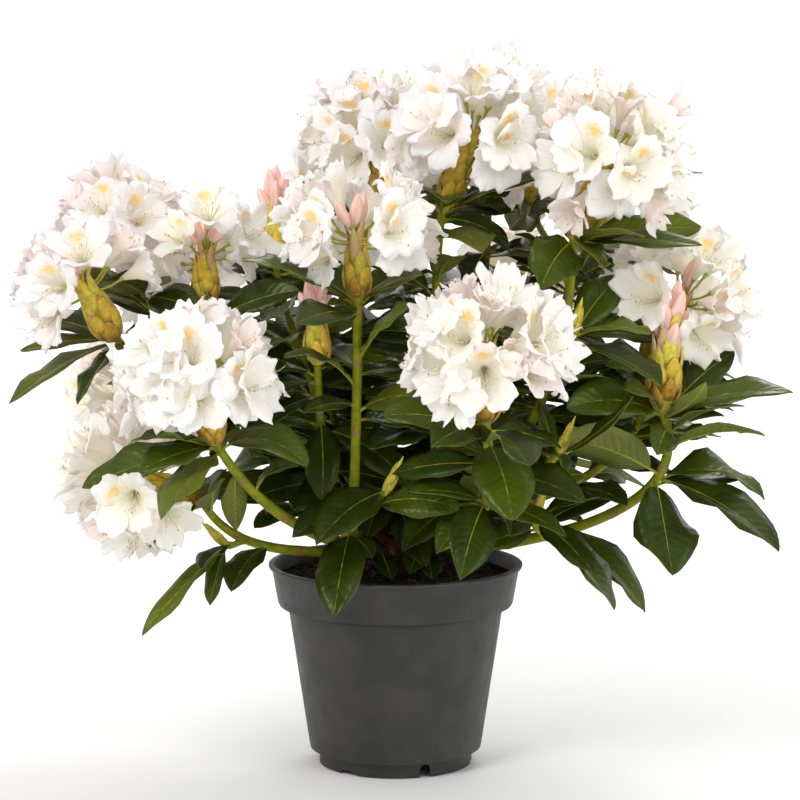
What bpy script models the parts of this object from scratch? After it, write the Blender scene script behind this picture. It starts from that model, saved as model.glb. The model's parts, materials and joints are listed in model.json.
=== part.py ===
"""A large-leaved evergreen rhododendron with white trusses, growing in a round plastic nursery pot.

Metres, +Z up. The origin is the middle of the pot's flat underside, and -Y is the plant's front.
A short woody trunk leaves the compost and forks into boughs. Each bough ends where it meets the
stem of one leafy mass. A mass is twigs, leaves, bract cones and blossoms fused into one solid.
"""

import math
import random
from typing import NamedTuple

import bmesh
import bpy
from mathutils import Matrix, Vector
from mathutils.bvhtree import BVHTree

SEED = 7
GAP = 0.0003  # clearance kept between neighbouring solids
GOLDEN_ANGLE = 137.5  # degrees from one leaf or blossom to the next round a shoot
SOLVER = "MANIFOLD"  # for limbs and masses: EXACT leaves a bough open where two cross at a shallow angle

# The pot: a thin moulded shell with a deep rim band and a notched foot ring.
POT_HEIGHT = 0.1806
POT_WALL = 0.0020
LIP_RADIUS = 0.1135
LIP_HEIGHT = 0.0031
BAND_TOP_RADIUS = 0.1107
BAND_LOW_RADIUS = 0.1052
BAND_HEIGHT = 0.0340
BODY_TOP_RADIUS = 0.0957
BODY_LOW_RADIUS = 0.0775
FOOT_RADIUS = 0.0685
FOOT_HEIGHT = 0.0130
SHOULDER = 0.0030  # how far the wall steps in or out where one zone of the pot meets the next
BOSS_RADIUS = 0.0150
POT_SIDES = 24
NOTCH_COUNT = 6
NOTCH_BEARING = -67.6
DEEP_NOTCH = (0.0100, 0.0115)  # width and height
SHALLOW_NOTCH = (0.0180, 0.0030)
DRAIN_RADIUS = 0.0045
DRAIN_CIRCLE = 0.0480
DRAIN_SIDES = 6

# The compost and the trunk that stands on it.
SOIL_TOP = 0.1710
SOIL_EDGE_DROP = 0.0025
SOIL_BANK = 0.0180  # how far in from the wall the compost has levelled out
TRUNK_FOOT = (0.002, 0.002)
TRUNK_RADIUS = 0.0125
TRUNK_FLARE = 0.0175
TRUNK_TOP = 0.2030
TRUNK_LEAN = (0.0015, -0.0015)
TRUNK_SIDES = 9

# Limbs and twigs.
LIMB_SIDES = 5
STEM_SIDES = 4
TWIG_SIDES = 3
LIMB_STEP = 0.038
LIMB_SWEEP = 0.40  # how long a limb holds its first and last direction, as a share of its chord
LIMB_SEAT = 0.6  # how far off the trunk's axis a limb is rooted, as a share of the trunk's radius
TWIG_RADIUS = 0.0030
TWIG_RISE = 0.6  # how strongly a twig turns upward at its head
SHOOT_RISE = 0.5  # the same for the bud at the head of a shoot

# Leaves: a leathery blade on a short stalk, thickest along the midrib.
LEAF_THICKNESS = 0.0018
LEAF_STALK = 0.0015
LEAF_BREADTH = 0.36
LEAF_DROOP = 30
LEAF_FOLD = 0.10  # how far the margins rise above the blade's middle, as a share of the half width
LEAF_SEAT = 0.3  # how far off the shoot's axis a leaf is rooted, as a share of the shoot's radius
LEAF_LEAN = 42  # degrees by which a leaf rolls its face outward from the shaded middle of the plant
SHADE_MIDDLE = 0.10  # how far that middle is behind the trunk

# Where the other leaves grow, in degrees and millimetres.
TIER_STEP = 62  # from one year's whorl of leaves to the one below it
WHORL_TOP = 5  # from the head of the shoot to the first leaf of its whorl
WHORL_DEPTH = 16
WHORL_PITCHES = (-14, 22)
TIER_PITCHES = (-32, 12)
TURN_CHANGE = 12  # how far a leaf may turn from the golden angle
LEAF_LENGTHS = (82, 108)
LEAF_DROOPS = (20, 48)
LEAF_BREADTHS = (0.35, 0.44)

# Trusses: blossoms on stalks round the top of a cone of bracts.
CONE_SHARE = 0.90  # of the way from the whorl to the middle of the truss
CONE_DEPTH = 0.28  # how far down that way the lowest blossom is rooted
CONE_RADIUS = 0.0105
OPEN_SPREAD = 116  # degrees from the truss's axis to its lowest blossom
CLOSED_SPREAD = 60  # the same where most of the truss is in bud
BARE_TURN = 48  # degrees kept free of blossoms on each side of a bare bearing
BARE_TOP = 0.62  # a blossom that points up more steeply than this stays where it is
BLOSSOM_CHANGE = 0.06
BLOSSOM_SCALES = (1.0, 0.88, 0.76)  # tried in turn where a neighbour is in the way
LEAF_BUD_LENGTH = 0.038
STALK_LENGTH = 0.028
COROLLA_LENGTH = 0.040
COROLLA_MOUTH = 0.0300
COROLLA_BASE = 0.0036
BUD_LENGTH = 0.030
BUD_RADIUS = 0.0068


class Limb(NamedTuple):
    """A limb, from its root on another limb to the head of the shoot that it ends in."""

    parent: str
    at: float  # the share of the parent's length at which it springs
    sets_out: tuple  # bearing and pitch at its root, in degrees
    head: tuple
    arrives: tuple  # bearing and pitch at its head, in degrees
    radii: tuple  # at its root and at its head, in millimetres
    bough: float  # the share of its length that is bough; the rest is the stem of its mass


class Stretch(NamedTuple):
    """A stretch of limb or twig: its middle line, its radius at each point, and how its ends face."""

    route: list
    radii: list
    ends: tuple = (None, None)


class Truss(NamedTuple):
    """The flower head of a shoot."""

    bearing: float
    pitch: float
    middle: float  # millimetres from the whorl of leaves to the middle of the truss
    blossoms: int
    buds: int
    bare: float = None  # the bearing of a side where its cone of bracts shows
    size: float = 1.0


class Leaf(NamedTuple):
    """A leaf as it stands: where it is rooted and how it points, in degrees and metres."""

    root: Vector
    bearing: float
    pitch: float
    length: float
    droop: float
    breadth: float
    roll: float


LIMBS = {
    "front_left": Limb("trunk", 0.60, (-135, 10), (-0.151, -0.150, 0.311), (-115, 45), (6.0, 3.6), 0.66),
    "low_left": Limb("trunk", 0.50, (-152, 10), (-0.168, -0.090, 0.253), (-130, 55), (5.5, 3.4), 0.58),
    "mid_front": Limb("front_left", 0.20, (-85, 70), (-0.032, -0.100, 0.425), (0, 90), (4.6, 4.0), 0.42),
    "mid_left": Limb("trunk", 0.80, (165, 35), (-0.067, -0.070, 0.368), (-90, 65), (4.6, 3.4), 0.60),
    "far_left": Limb("trunk", 0.60, (150, 15), (-0.246, -0.028, 0.384), (-145, 10), (5.0, 3.4), 0.52),
    "top_left": Limb("trunk", 0.90, (105, 60), (-0.010, 0.020, 0.496), (-175, 75), (4.6, 3.6), 0.30),
    "top_mid": Limb("trunk", 0.94, (10, 65), (0.041, -0.010, 0.496), (35, 80), (4.6, 3.8), 0.30),
    "top_back": Limb("trunk", 0.80, (55, 50), (0.083, 0.090, 0.521), (95, 70), (4.8, 3.8), 0.45),
    "top_right": Limb("trunk", 0.90, (0, 30), (0.155, -0.030, 0.474), (85, 70), (5.0, 3.6), 0.58),
    "right_high": Limb("trunk", 0.78, (32, 35), (0.200, 0.070, 0.516), (0, 65), (5.0, 3.4), 0.60),
    "centre": Limb("trunk", 0.80, (-20, 15), (0.075, -0.170, 0.331), (-100, 55), (6.4, 4.0), 0.36),
    "right": Limb("trunk", 0.54, (-12, 5), (0.231, -0.050, 0.326), (160, 65), (5.6, 4.0), 0.66),
    "right_back": Limb("top_right", 0.18, (-30, -5), (0.222, 0.004, 0.362), (135, 70), (4.4, 3.4), 0.66),
    "back_left": Limb("far_left", 0.16, (125, 20), (-0.166, 0.160, 0.384), (135, 55), (4.6, 3.4), 0.46),
    "back_mid": Limb("trunk", 0.72, (100, 25), (-0.038, 0.170, 0.424), (105, 70), (5.0, 3.6), 0.40),
    "back_right": Limb("trunk", 0.54, (62, 15), (0.104, 0.182, 0.346), (65, 70), (5.0, 3.4), 0.50),
    "inner_left": Limb("trunk", 0.92, (130, 40), (-0.072, 0.070, 0.350), (150, 70), (4.2, 3.2), 0.34),
    "inner_right": Limb("trunk", 0.90, (25, 35), (0.112, 0.016, 0.340), (-10, 70), (4.2, 3.2), 0.34),
    "foot_left": Limb("front_left", 0.26, (-85, 20), (-0.008, -0.070, 0.256), (-20, 50), (3.4, 2.8), 0.0),
    "right_low": Limb("right", 0.40, (-60, 20), (0.122, -0.060, 0.232), (-50, 50), (3.4, 2.8), 0.0),
}

# Side twigs of a mass: the mass, the share of its stem where the twig leaves it, and the point it reaches.
TWIGS = {
    "low_left_spur": ("low_left", 0.24, (-0.147, -0.071, 0.209)),
    "far_left_back": ("far_left", 0.35, (-0.226, 0.048, 0.420)),
    "far_left_inner": ("far_left", 0.12, (-0.168, 0.004, 0.408)),
    "mid_left_high": ("mid_left", 0.25, (-0.106, 0.008, 0.446)),
    "top_right_bud": ("top_right", 0.22, (0.154, -0.062, 0.392)),
    "top_right_back": ("top_right", 0.62, (0.122, 0.064, 0.500)),
    "right_mid": ("centre", 0.22, (0.140, -0.100, 0.294)),
    "right_high_back": ("right_high", 0.15, (0.190, 0.146, 0.460)),
    "right_back_low": ("right_back", 0.45, (0.206, 0.092, 0.286)),
    "back_left_low": ("back_left", 0.20, (-0.196, 0.116, 0.282)),
    "back_mid_low": ("back_mid", 0.15, (-0.066, 0.196, 0.290)),
    "back_right_low": ("back_right", 0.20, (0.158, 0.158, 0.254)),
}

TRUSSES = {
    "front_left": Truss(-130, 68, 62, 10, 0),
    "low_left": Truss(-158, 20, 66, 7, 0, size=0.86),
    "far_left": Truss(-165, 62, 62, 6, 2, -20, size=0.94),
    "far_left_back": Truss(160, 70, 60, 8, 0, size=0.94),
    "far_left_inner": Truss(90, 84, 58, 6, 2, -80, size=0.90),
    "mid_left": Truss(-100, 82, 44, 1, 5),
    "mid_left_high": Truss(90, 86, 60, 1, 5, size=0.9),
    "mid_front": Truss(-100, 84, 62, 8, 2, -92, size=0.96),
    "top_left": Truss(170, 76, 64, 10, 0),
    "top_mid": Truss(-20, 66, 80, 10, 0),
    "top_back": Truss(40, 78, 56, 7, 0),
    "top_right": Truss(-30, 64, 86, 10, 0),
    "top_right_back": Truss(120, 80, 62, 5, 0),
    "right_high": Truss(120, 80, 46, 7, 0, size=0.94),
    "right_high_back": Truss(60, 60, 60, 7, 0),
    "centre": Truss(-96, 72, 68, 11, 0),
    "right": Truss(0, 84, 84, 1, 5),
    "right_back": Truss(-15, 60, 72, 8, 1, -170, size=0.96),
    "back_left": Truss(135, 55, 66, 7, 0),
    "back_mid": Truss(100, 66, 66, 7, 0),
    "back_right": Truss(70, 55, 66, 7, 0),
    "back_left_low": Truss(150, 30, 66, 6, 0),
}

# Leaves that stand out at the front: millimetres below the head of the shoot, bearing and pitch in
# degrees, length in millimetres, then droop, breadth over length and roll where they aren't the usual ones.
LEAVES = {
    "front_left": [
        (8, -175, -17, 120, 20, 0.34), (6, -137, -10, 80, 25, 0.42), (14, -120, -27, 100, 30, 0.46),
        (10, -33, -5, 97, 75), (72, -43, 28, 62, 70, 0.30), (42, 80, -50, 85, 20, 0.30),
    ],
    "low_left": [
        (5, -124, -16, 75, 20, 0.30), (8, 166, -29, 62, 20, 0.30),
    ],
    "low_left_spur": [
        (6, -126, -16, 56, 30, 0.50), (2, -141, -38, 112, 20, 0.18), (0, -112, -55, 58, 20, 0.34),
    ],
    "far_left": [
        (3, 122, 13, 85), (2, 150, 16, 97, 20, 0.28), (4, -131, 9, 78, 50, 0.48),
        (3, 170, -8, 92, 20, 0.22), (8, -150, -18, 118, 30, 0.26), (10, -116, -32, 90),
    ],
    "far_left_back": [
        (4, -121, 14, 70, 40, 0.40), (6, -61, 18, 60, 30, 0.30),
    ],
    "mid_left_high": [
        (3, 125, 4, 85), (40, 124, 21, 80, 20, 0.26), (42, 150, 8, 90, 20, 0.22),
    ],
    "mid_left": [
        (20, -136, -4, 90), (34, -150, -24, 85), (60, -84, -47, 88),
    ],
    "mid_front": [
        (4, -155, 22, 112, 25, 0.30), (3, 131, 16, 85, 25, 0.32), (3, 51, 18, 80),
        (4, -49, 21, 87, 30, 0.34), (12, -115, 14, 50), (50, -50, 36, 85, 30, 0.40),
        (74, -138, 20, 92, 60, 0.30), (60, 120, 12, 84), (72, -75, 28, 52, 40, 0.50),
        (65, 42, 1, 55, 20, 0.40), (92, -133, -1, 62), (98, -40, 9, 97, 45, 0.40),
        (106, 35, -14, 80, 30, 0.40),
    ],
    "centre": [
        (4, -124, -8, 77, 35, 0.50), (24, -76, -32, 102, 30, 0.50), (12, 37, -15, 82),
        (52, 131, 3, 76, 80, 0.26), (54, 110, -27, 60), (56, 160, -9, 92, 25, 0.34),
        (118, -145, 11, 82, 25, 0.28), (124, 152, -3, 90, 20, 0.26), (120, -108, -38, 92, 35, 0.46),
        (130, -130, -30, 68, 30, 0.50), (116, -38, -17, 84, 30, 0.42),
    ],
    "right_low": [
        (0, -25, 20, 62, 30, 0.34), (2, -58, -24, 90, 30, 0.42), (1, -42, -40, 112, 30, 0.44),
        (16, -24, -32, 124, 50, 0.36),
    ],
    "foot_left": [
        (0, -137, -15, 102, 40, 0.46), (48, -98, -37, 102, 40, 0.42),
    ],
    "top_right": [
        (4, -117, -26, 82, 30, 0.58), (3, -69, -16, 72, 30, 0.46), (4, -28, 0, 117, 15, 0.30),
        (3, 16, 4, 120, 15, 0.28),
    ],
    "top_right_back": [
        (6, -140, 6, 75, 35, 0.50), (8, -100, -12, 80, 40, 0.32),
    ],
    "top_right_bud": [
        (2, 58, 42, 80, 20, 0.44), (2, -42, 5, 85, 45, 0.32), (3, 15, -1, 92, 50, 0.32),
        (4, 30, -32, 80),
    ],
    "top_mid": [
        (2, -91, 16, 82, 60, 0.46), (3, -28, 25, 117, 25, 0.34), (3, 48, -1, 100),
        (8, 10, -26, 72, 60, 0.30), (40, -131, 7, 42, 40, 0.50),
    ],
    "top_left": [
        (3, 143, 24, 97, 50, 0.32), (2, -98, -6, 72, 40, 0.50),
    ],
    "right": [
        (66, -86, -42, 106, 25, 0.54), (64, -28, -25, 130, 30, 0.34), (66, -4, -15, 104, 80, 0.38),
        (60, -165, 20, 100, 30, 0.54, 50), (34, -34, 10, 97, 40, 0.42), (22, -41, 21, 82, 40, 0.34),
        (6, -22, 12, 117, 35, 0.30), (7, -56, 24, 80, -30, 0.26), (6, 30, 35, 90, 20, 0.40),
        (6, -129, 28, 76, 50, 0.40), (20, -102, -18, 52, 60, 0.60), (7, 117, 34, 92),
    ],
    "right_mid": [
        (4, 101, 42, 60, 10), (4, 72, 36, 60, 10), (6, 150, 14, 50, 20), (5, 123, 21, 82),
        (4, -78, -3, 50, 80, 0.50), (3, -29, 38, 90, -25, 0.30),
    ],
}

# How many leaves the rule adds: in the whorl at the head of the shoot, then in each tier below it.
USUAL_TIERS = (6, 3)
TIERS = {
    "front_left": (2,), "low_left": (2, 1), "low_left_spur": (), "far_left": (1, 2),
    "far_left_back": (5,), "far_left_inner": (4, 2), "mid_left": (3, 2, 2), "mid_left_high": (3, 2),
    "mid_front": (1,), "top_left": (4, 0, 3, 3, 3), "top_mid": (3, 0, 2, 3, 2),
    "top_back": (5, 2, 3), "top_right": (2,), "top_right_back": (4,), "top_right_bud": (2,),
    "centre": (3, 2), "foot_left": (2,), "right": (1, 1), "right_mid": (1,), "right_low": (2,),
    "right_back": (4, 2), "right_back_low": (6, 1), "right_high_back": (5, 2),
}

# How a leaf may be turned, tilted and shortened where the place it first asks for is taken.
SMALL_MOVES = [
    (0, 0, 1), (6, 4, 1), (-6, 4, 1), (0, -7, 1), (10, -5, 1), (-10, -5, 1), (0, 9, 0.95),
    (15, 0, 0.92), (-15, 0, 0.92), (0, 0, 0.8), (12, 8, 0.8), (-12, 8, 0.8),
]
WIDE_MOVES = SMALL_MOVES + [
    (25, 10, 0.95), (-25, 10, 0.95), (35, -10, 0.9), (-35, -10, 0.9), (20, 22, 0.85),
    (-20, 22, 0.85), (0, -24, 0.85), (45, 5, 0.8), (-45, 5, 0.8),
]


def clear_scene():
    for item in list(bpy.data.objects):
        bpy.data.objects.remove(item)


def material(name, colour, roughness, specular=0.5):
    finish = bpy.data.materials.new(name)
    finish.use_nodes = True
    shader = finish.node_tree.nodes["Principled BSDF"]
    shader.inputs["Base Color"].default_value = (*colour, 1.0)
    shader.inputs["Roughness"].default_value = roughness
    shader.inputs["Specular IOR Level"].default_value = specular
    finish.diffuse_color = (*colour, 1.0)
    return finish


def plastic_material():
    return material("pot_plastic", (0.045, 0.045, 0.044), 0.55, 0.4)


def soil_material():
    return material("compost", (0.030, 0.019, 0.013), 0.95, 0.2)


def bark_material():
    return material("bark", (0.150, 0.110, 0.040), 0.80, 0.3)


def foliage_material():
    return material("foliage", (0.060, 0.095, 0.020), 0.45)


def mesh_object(name, points, faces, finish=None):
    data = bpy.data.meshes.new(name)
    data.from_pydata([tuple(point) for point in points], [], faces)
    data.update()
    item = bpy.data.objects.new(name, data)
    bpy.context.scene.collection.objects.link(item)
    if finish:
        data.materials.append(finish)
    return item


def turned(name, outline, sides, finish):
    """A solid turned about the Z axis from an outline of radii and heights that starts and ends on it."""
    shape = bmesh.new()
    ring = [shape.verts.new((radius, 0.0, height)) for radius, height in outline]
    edges = [shape.edges.new(pair) for pair in zip(ring, ring[1:])]
    bmesh.ops.spin(shape, geom=ring + edges, cent=(0, 0, 0), axis=(0, 0, 1), angle=math.tau, steps=sides,
                   use_merge=True)
    bmesh.ops.remove_doubles(shape, verts=shape.verts, dist=0.00002)
    bmesh.ops.recalc_face_normals(shape, faces=shape.faces)
    data = bpy.data.meshes.new(name)
    shape.to_mesh(data)
    shape.free()
    item = bpy.data.objects.new(name, data)
    bpy.context.scene.collection.objects.link(item)
    data.materials.append(finish)
    return item


def box(name, centre, size, bearing=0.0):
    half = Vector(size) / 2
    corners = [Vector((x, y, z)) * half for x in (-1, 1) for y in (-1, 1) for z in (-1, 1)]
    turn = Matrix.Translation(centre) @ Matrix.Rotation(math.radians(bearing), 4, "Z")
    faces = [(0, 1, 3, 2), (4, 6, 7, 5), (0, 4, 5, 1), (2, 3, 7, 6), (0, 2, 6, 4), (1, 5, 7, 3)]
    return mesh_object(name, [turn @ corner for corner in corners], faces)


def apply_boolean(item, operation, cutter=None, collection=None, solver="EXACT"):
    """Joins or cuts an object with another or with a collection, and keeps the result as its mesh."""
    change = item.modifiers.new("boolean", "BOOLEAN")
    change.operation = operation
    change.solver = solver
    if collection:
        change.operand_type = "COLLECTION"
        change.collection = collection
    else:
        change.object = cutter
    graph = bpy.context.evaluated_depsgraph_get()
    result = bpy.data.meshes.new_from_object(item.evaluated_get(graph), depsgraph=graph)
    item.modifiers.clear()
    item.data = result


def islands(shape):
    """The faces of each separate shell of a bmesh."""
    left = set(shape.faces)
    while left:
        found = {left.pop()}
        edge = list(found)
        while edge:
            face = edge.pop()
            for link in face.edges:
                for other in link.link_faces:
                    if other in left:
                        left.discard(other)
                        found.add(other)
                        edge.append(other)
        yield found


def shell_volume(faces):
    total = 0.0
    for face in faces:
        first = face.verts[0].co
        for second, third in zip(face.verts[1:], face.verts[2:]):
            total += first.dot(second.co.cross(third.co)) / 6
    return total


def keep_largest_shell(item):
    """Drops loose scraps and fills sealed hollows, both of which are shells of their own."""
    shape = bmesh.new()
    shape.from_mesh(item.data)
    shells = list(islands(shape))
    largest = max(shells, key=shell_volume)
    spare = [face for shell in shells if shell is not largest for face in shell]
    if spare:
        bmesh.ops.delete(shape, geom=spare, context="FACES")
        loose = [vert for vert in shape.verts if not vert.link_faces]
        bmesh.ops.delete(shape, geom=loose, context="VERTS")
    shape.to_mesh(item.data)
    shape.free()


def make_pot():
    """A shell turned in one piece, with a boss under its middle, then notched and drilled."""
    lip_low = POT_HEIGHT - LIP_HEIGHT
    band_low = lip_low - BAND_HEIGHT
    floor = FOOT_HEIGHT + POT_WALL
    underside = FOOT_HEIGHT - POT_WALL * 0.75
    outline = [
        (0.0, 0.0),
        (BOSS_RADIUS, 0.0),
        (BOSS_RADIUS, underside),
        (FOOT_RADIUS - POT_WALL, underside),
        (FOOT_RADIUS - POT_WALL, 0.0),
        (FOOT_RADIUS, 0.0),
        (FOOT_RADIUS, FOOT_HEIGHT),
        (BODY_LOW_RADIUS - SHOULDER, FOOT_HEIGHT),
        (BODY_LOW_RADIUS, FOOT_HEIGHT + SHOULDER * 2),
        (BODY_TOP_RADIUS, band_low - SHOULDER),
        (BAND_LOW_RADIUS - SHOULDER, band_low),
        (BAND_LOW_RADIUS, band_low + SHOULDER),
        (BAND_TOP_RADIUS, lip_low),
        (LIP_RADIUS, lip_low),
        (LIP_RADIUS, POT_HEIGHT),
        (BAND_TOP_RADIUS - POT_WALL, POT_HEIGHT),
        (BAND_LOW_RADIUS - POT_WALL, band_low + SHOULDER + POT_WALL / 2),
        (BODY_TOP_RADIUS - POT_WALL, band_low - SHOULDER + POT_WALL),
        (BODY_LOW_RADIUS - POT_WALL, floor),
        (0.0, floor),
    ]
    pot = turned("pot", outline, POT_SIDES, plastic_material())
    for number in range(NOTCH_COUNT):
        bearing = NOTCH_BEARING + number * 360 / NOTCH_COUNT
        width, height = SHALLOW_NOTCH if number % 2 else DEEP_NOTCH
        out = heading(bearing, 0) * FOOT_RADIUS
        notch = box("notch_cutter", out, (FOOT_RADIUS * 0.3, width, height * 2), bearing)
        apply_boolean(pot, "DIFFERENCE", notch)
        bpy.data.objects.remove(notch)
    for number in range(NOTCH_COUNT):
        hole = heading(NOTCH_BEARING + (number + 0.5) * 360 / NOTCH_COUNT, 0) * DRAIN_CIRCLE
        hole.z = FOOT_HEIGHT
        bpy.ops.mesh.primitive_cylinder_add(
            vertices=DRAIN_SIDES, radius=DRAIN_RADIUS, depth=FOOT_HEIGHT, location=hole)
        drill = bpy.context.object
        apply_boolean(pot, "DIFFERENCE", drill)
        bpy.data.objects.remove(drill)
    keep_largest_shell(pot)
    pot.data.shade_smooth()
    pot.data.set_sharp_from_angle(angle=math.radians(30))
    return pot


def make_soil():
    """The compost fills the pot to just below its lip, a hair clear of the wall."""
    band_low = POT_HEIGHT - LIP_HEIGHT - BAND_HEIGHT
    inside = POT_WALL + GAP * 2
    floor = FOOT_HEIGHT + inside
    edge = SOIL_TOP - SOIL_EDGE_DROP
    slope = (BAND_TOP_RADIUS - BAND_LOW_RADIUS) / (BAND_HEIGHT - SHOULDER)
    edge_radius = BAND_LOW_RADIUS + slope * (edge - band_low - SHOULDER) - inside
    outline = [
        (0.0, floor),
        (BODY_LOW_RADIUS - inside, floor),
        (BODY_TOP_RADIUS - inside, band_low - SHOULDER + inside),
        (BAND_LOW_RADIUS - inside, band_low + SHOULDER + inside / 2),
        (edge_radius, edge),
        (edge_radius - SOIL_BANK, SOIL_TOP),
        (0.0, SOIL_TOP),
    ]
    return turned("compost", outline, POT_SIDES, soil_material())


def curve_between(root, sets_out, head, arrives):
    """Points on a smooth curve that leaves one point and reaches another in the directions given."""
    chord = (head - root).length
    first = root + sets_out * chord * LIMB_SWEEP
    last = head - arrives * chord * LIMB_SWEEP
    count = max(2, round(chord * 1.1 / LIMB_STEP))
    route = []
    for number in range(count + 1):
        t = number / count
        s = 1 - t
        route.append(root * s ** 3 + first * 3 * s * s * t + last * 3 * s * t * t + head * t ** 3)
    return route


def lengths_along(route):
    found = [0.0]
    for start, stop in zip(route, route[1:]):
        found.append(found[-1] + (stop - start).length)
    return found


def point_at(route, distance):
    """The point and the direction at a distance along a route."""
    found = lengths_along(route)
    distance = min(max(distance, 0.0), found[-1])
    for number in range(1, len(route)):
        if distance <= found[number] or number == len(route) - 1:
            span = route[number] - route[number - 1]
            share = (distance - found[number - 1]) / span.length
            return route[number - 1] + span * share, span.normalized()


def part_of_route(route, start, stop):
    """The stretch of a route between two distances along it."""
    margin = LIMB_STEP / 5
    along = lengths_along(route)
    inside = [spot for spot, at in zip(route, along) if start + margin < at < stop - margin]
    return [point_at(route, start)[0]] + inside + [point_at(route, stop)[0]]


def tube(stretch, sides, swell=0.0):
    """The points and faces of a closed tube with one ring at each point of its middle line."""
    route = stretch.route
    points, faces = [], []
    across = (route[1] - route[0]).orthogonal().normalized()
    for number, spot in enumerate(route):
        before = route[max(number - 1, 0)]
        after = route[min(number + 1, len(route) - 1)]
        along = (after - before).normalized()
        if number == 0:
            along = stretch.ends[0] or along
        if number == len(route) - 1:
            along = stretch.ends[1] or along
        across = (across - along * across.dot(along)).normalized()
        other = along.cross(across)
        reach = stretch.radii[number] + swell
        for side in range(sides):
            turn = math.tau * side / sides
            points.append(spot + (across * math.cos(turn) + other * math.sin(turn)) * reach)
    for number in range(len(route) - 1):
        for side in range(sides):
            first = number * sides + side
            second = number * sides + (side + 1) % sides
            faces.append((first, second, second + sides, first + sides))
    faces.append(tuple(reversed(range(sides))))
    faces.append(tuple(range(len(points) - sides, len(points))))
    return points, faces


def tapering(route, first, last):
    found = lengths_along(route)
    return [first + (last - first) * along / found[-1] for along in found]


def heading(bearing, pitch):
    """The direction with this bearing from +X and this pitch above the level, in degrees."""
    turn, rise = math.radians(bearing), math.radians(pitch)
    return Vector((math.cos(turn) * math.cos(rise), math.sin(turn) * math.cos(rise), math.sin(rise)))


def leaf_shape(leaf, swell=0.0):
    """A leaf of 16 triangles: a stalk that widens to a blade, with its margins above its midrib."""
    half = leaf.breadth * leaf.length / 2
    stations = [
        (0.0, LEAF_STALK, LEAF_STALK * 1.6, 0.0),
        (0.38, half, LEAF_THICKNESS, LEAF_FOLD),
        (0.77, half * 0.84, LEAF_THICKNESS, LEAF_FOLD),
    ]
    points = []
    faces = [(2, 1, 0)]
    spot = leaf.root
    walked = 0.0
    for share, reach, thick, fold in stations:
        spot = spot + leaf_heading(leaf, (walked + share) / 2) * (share - walked) * leaf.length
        walked = share
        along = leaf_heading(leaf, share)
        side = Matrix.Rotation(math.radians(leaf.roll), 3, along) @ heading(leaf.bearing + 90, 0)
        up = along.cross(side)
        margin = spot + up * reach * fold
        reach += swell
        points += [margin + side * reach, margin - side * reach, spot - up * (thick + swell * 2)]
    points.append(spot + leaf_heading(leaf, (walked + 1) / 2) * ((1 - walked) * leaf.length + swell))
    for start in range(0, len(points) - 4, 3):
        for corner in range(3):
            here, there = start + corner, start + (corner + 1) % 3
            faces.append((here, there, there + 3, here + 3))
    last = len(points) - 4
    for corner in range(3):
        faces.append((last + (corner + 1) % 3, last + 3, last + corner))
    return points, faces


def leaf_heading(leaf, share):
    """The direction of a leaf at a share of its length, as it droops from its root to its tip."""
    return heading(leaf.bearing, leaf.pitch + leaf.droop * (0.5 - share))


def blade_only(points, faces):
    """The faces of a leaf past its stalk, for telling blades of one shoot apart."""
    return points, [face for face in faces if min(face) > 2]


def rings_to_solid(rings):
    """Joins rings that may differ in count into one closed shape. A ring of one point is a tip."""
    points, faces = [], []
    starts = []
    for ring in rings:
        starts.append(len(points))
        points += ring
    for number in range(len(rings) - 1):
        low, high = len(rings[number]), len(rings[number + 1])
        first, second = starts[number], starts[number + 1]
        i = j = 0
        while i < low or j < high:
            turn_low = i < low and (j * low >= i * high or j == high)
            if turn_low and low > 1:
                faces.append((first + i, first + (i + 1) % low, second + j % high))
            elif not turn_low and high > 1:
                faces.append((first + i % low, second + (j + 1) % high, second + j % high))
            i += turn_low
            j += not turn_low
    if len(rings[0]) > 1:
        faces.append(tuple(reversed(range(len(rings[0])))))
    if len(rings[-1]) > 1:
        faces.append(tuple(range(starts[-1], len(points))))
    return points, faces


def ring_about(centre, axis, radii):
    """Points round an axis, one for each radius."""
    across = axis.orthogonal().normalized()
    step = math.tau / len(radii)
    turns = [Matrix.Rotation(step * number, 3, axis) for number in range(len(radii))]
    return [centre + turn @ across * radius for turn, radius in zip(turns, radii)]


def blossom_shape(root, axis, size=1.0, swell=0.0):
    """A stalk and a funnel with five corners whose throat is sunk in, of 16 triangles."""
    base = root + axis * STALK_LENGTH * size
    length = COROLLA_LENGTH * size
    rings = [
        [root],
        ring_about(base, axis, [COROLLA_BASE * size + swell] * 3),
        ring_about(base + axis * length, axis, [COROLLA_MOUTH * size + swell] * 5),
        [base + axis * length * 0.45],
    ]
    return rings_to_solid(rings)


def bud_shape(root, axis, size=1.0, swell=0.0):
    """A closed bud: a short stalk that swells and comes to a point."""
    base = root + axis * STALK_LENGTH * 0.5
    length = BUD_LENGTH * size
    rings = [
        [root],
        ring_about(base, axis, [BUD_RADIUS * size * 0.4 + swell] * 3),
        ring_about(base + axis * length * 0.55, axis, [BUD_RADIUS * size + swell] * 4),
        [base + axis * (length + swell)],
    ]
    return rings_to_solid(rings)


def cone_shape(head, axis, length):
    """The cone of bracts that carries a truss."""
    profile = [(-0.04, 0.40), (0.30, 1.0), (1.0, 0.42)]
    rings = []
    for at, share in profile:
        rings.append(ring_about(head + axis * length * at, axis, [CONE_RADIUS * share] * 4))
    return rings_to_solid(rings)


def leaf_bud_shape(head, axis):
    """The long pointed bud at the end of a shoot that has no truss."""
    rings = [
        ring_about(head - axis * LEAF_BUD_LENGTH * 0.1, axis, [TWIG_RADIUS * 0.9] * 3),
        ring_about(head + axis * LEAF_BUD_LENGTH * 0.3, axis, [TWIG_RADIUS * 1.5] * 3),
        [head + axis * LEAF_BUD_LENGTH],
    ]
    return rings_to_solid(rings)


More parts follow.
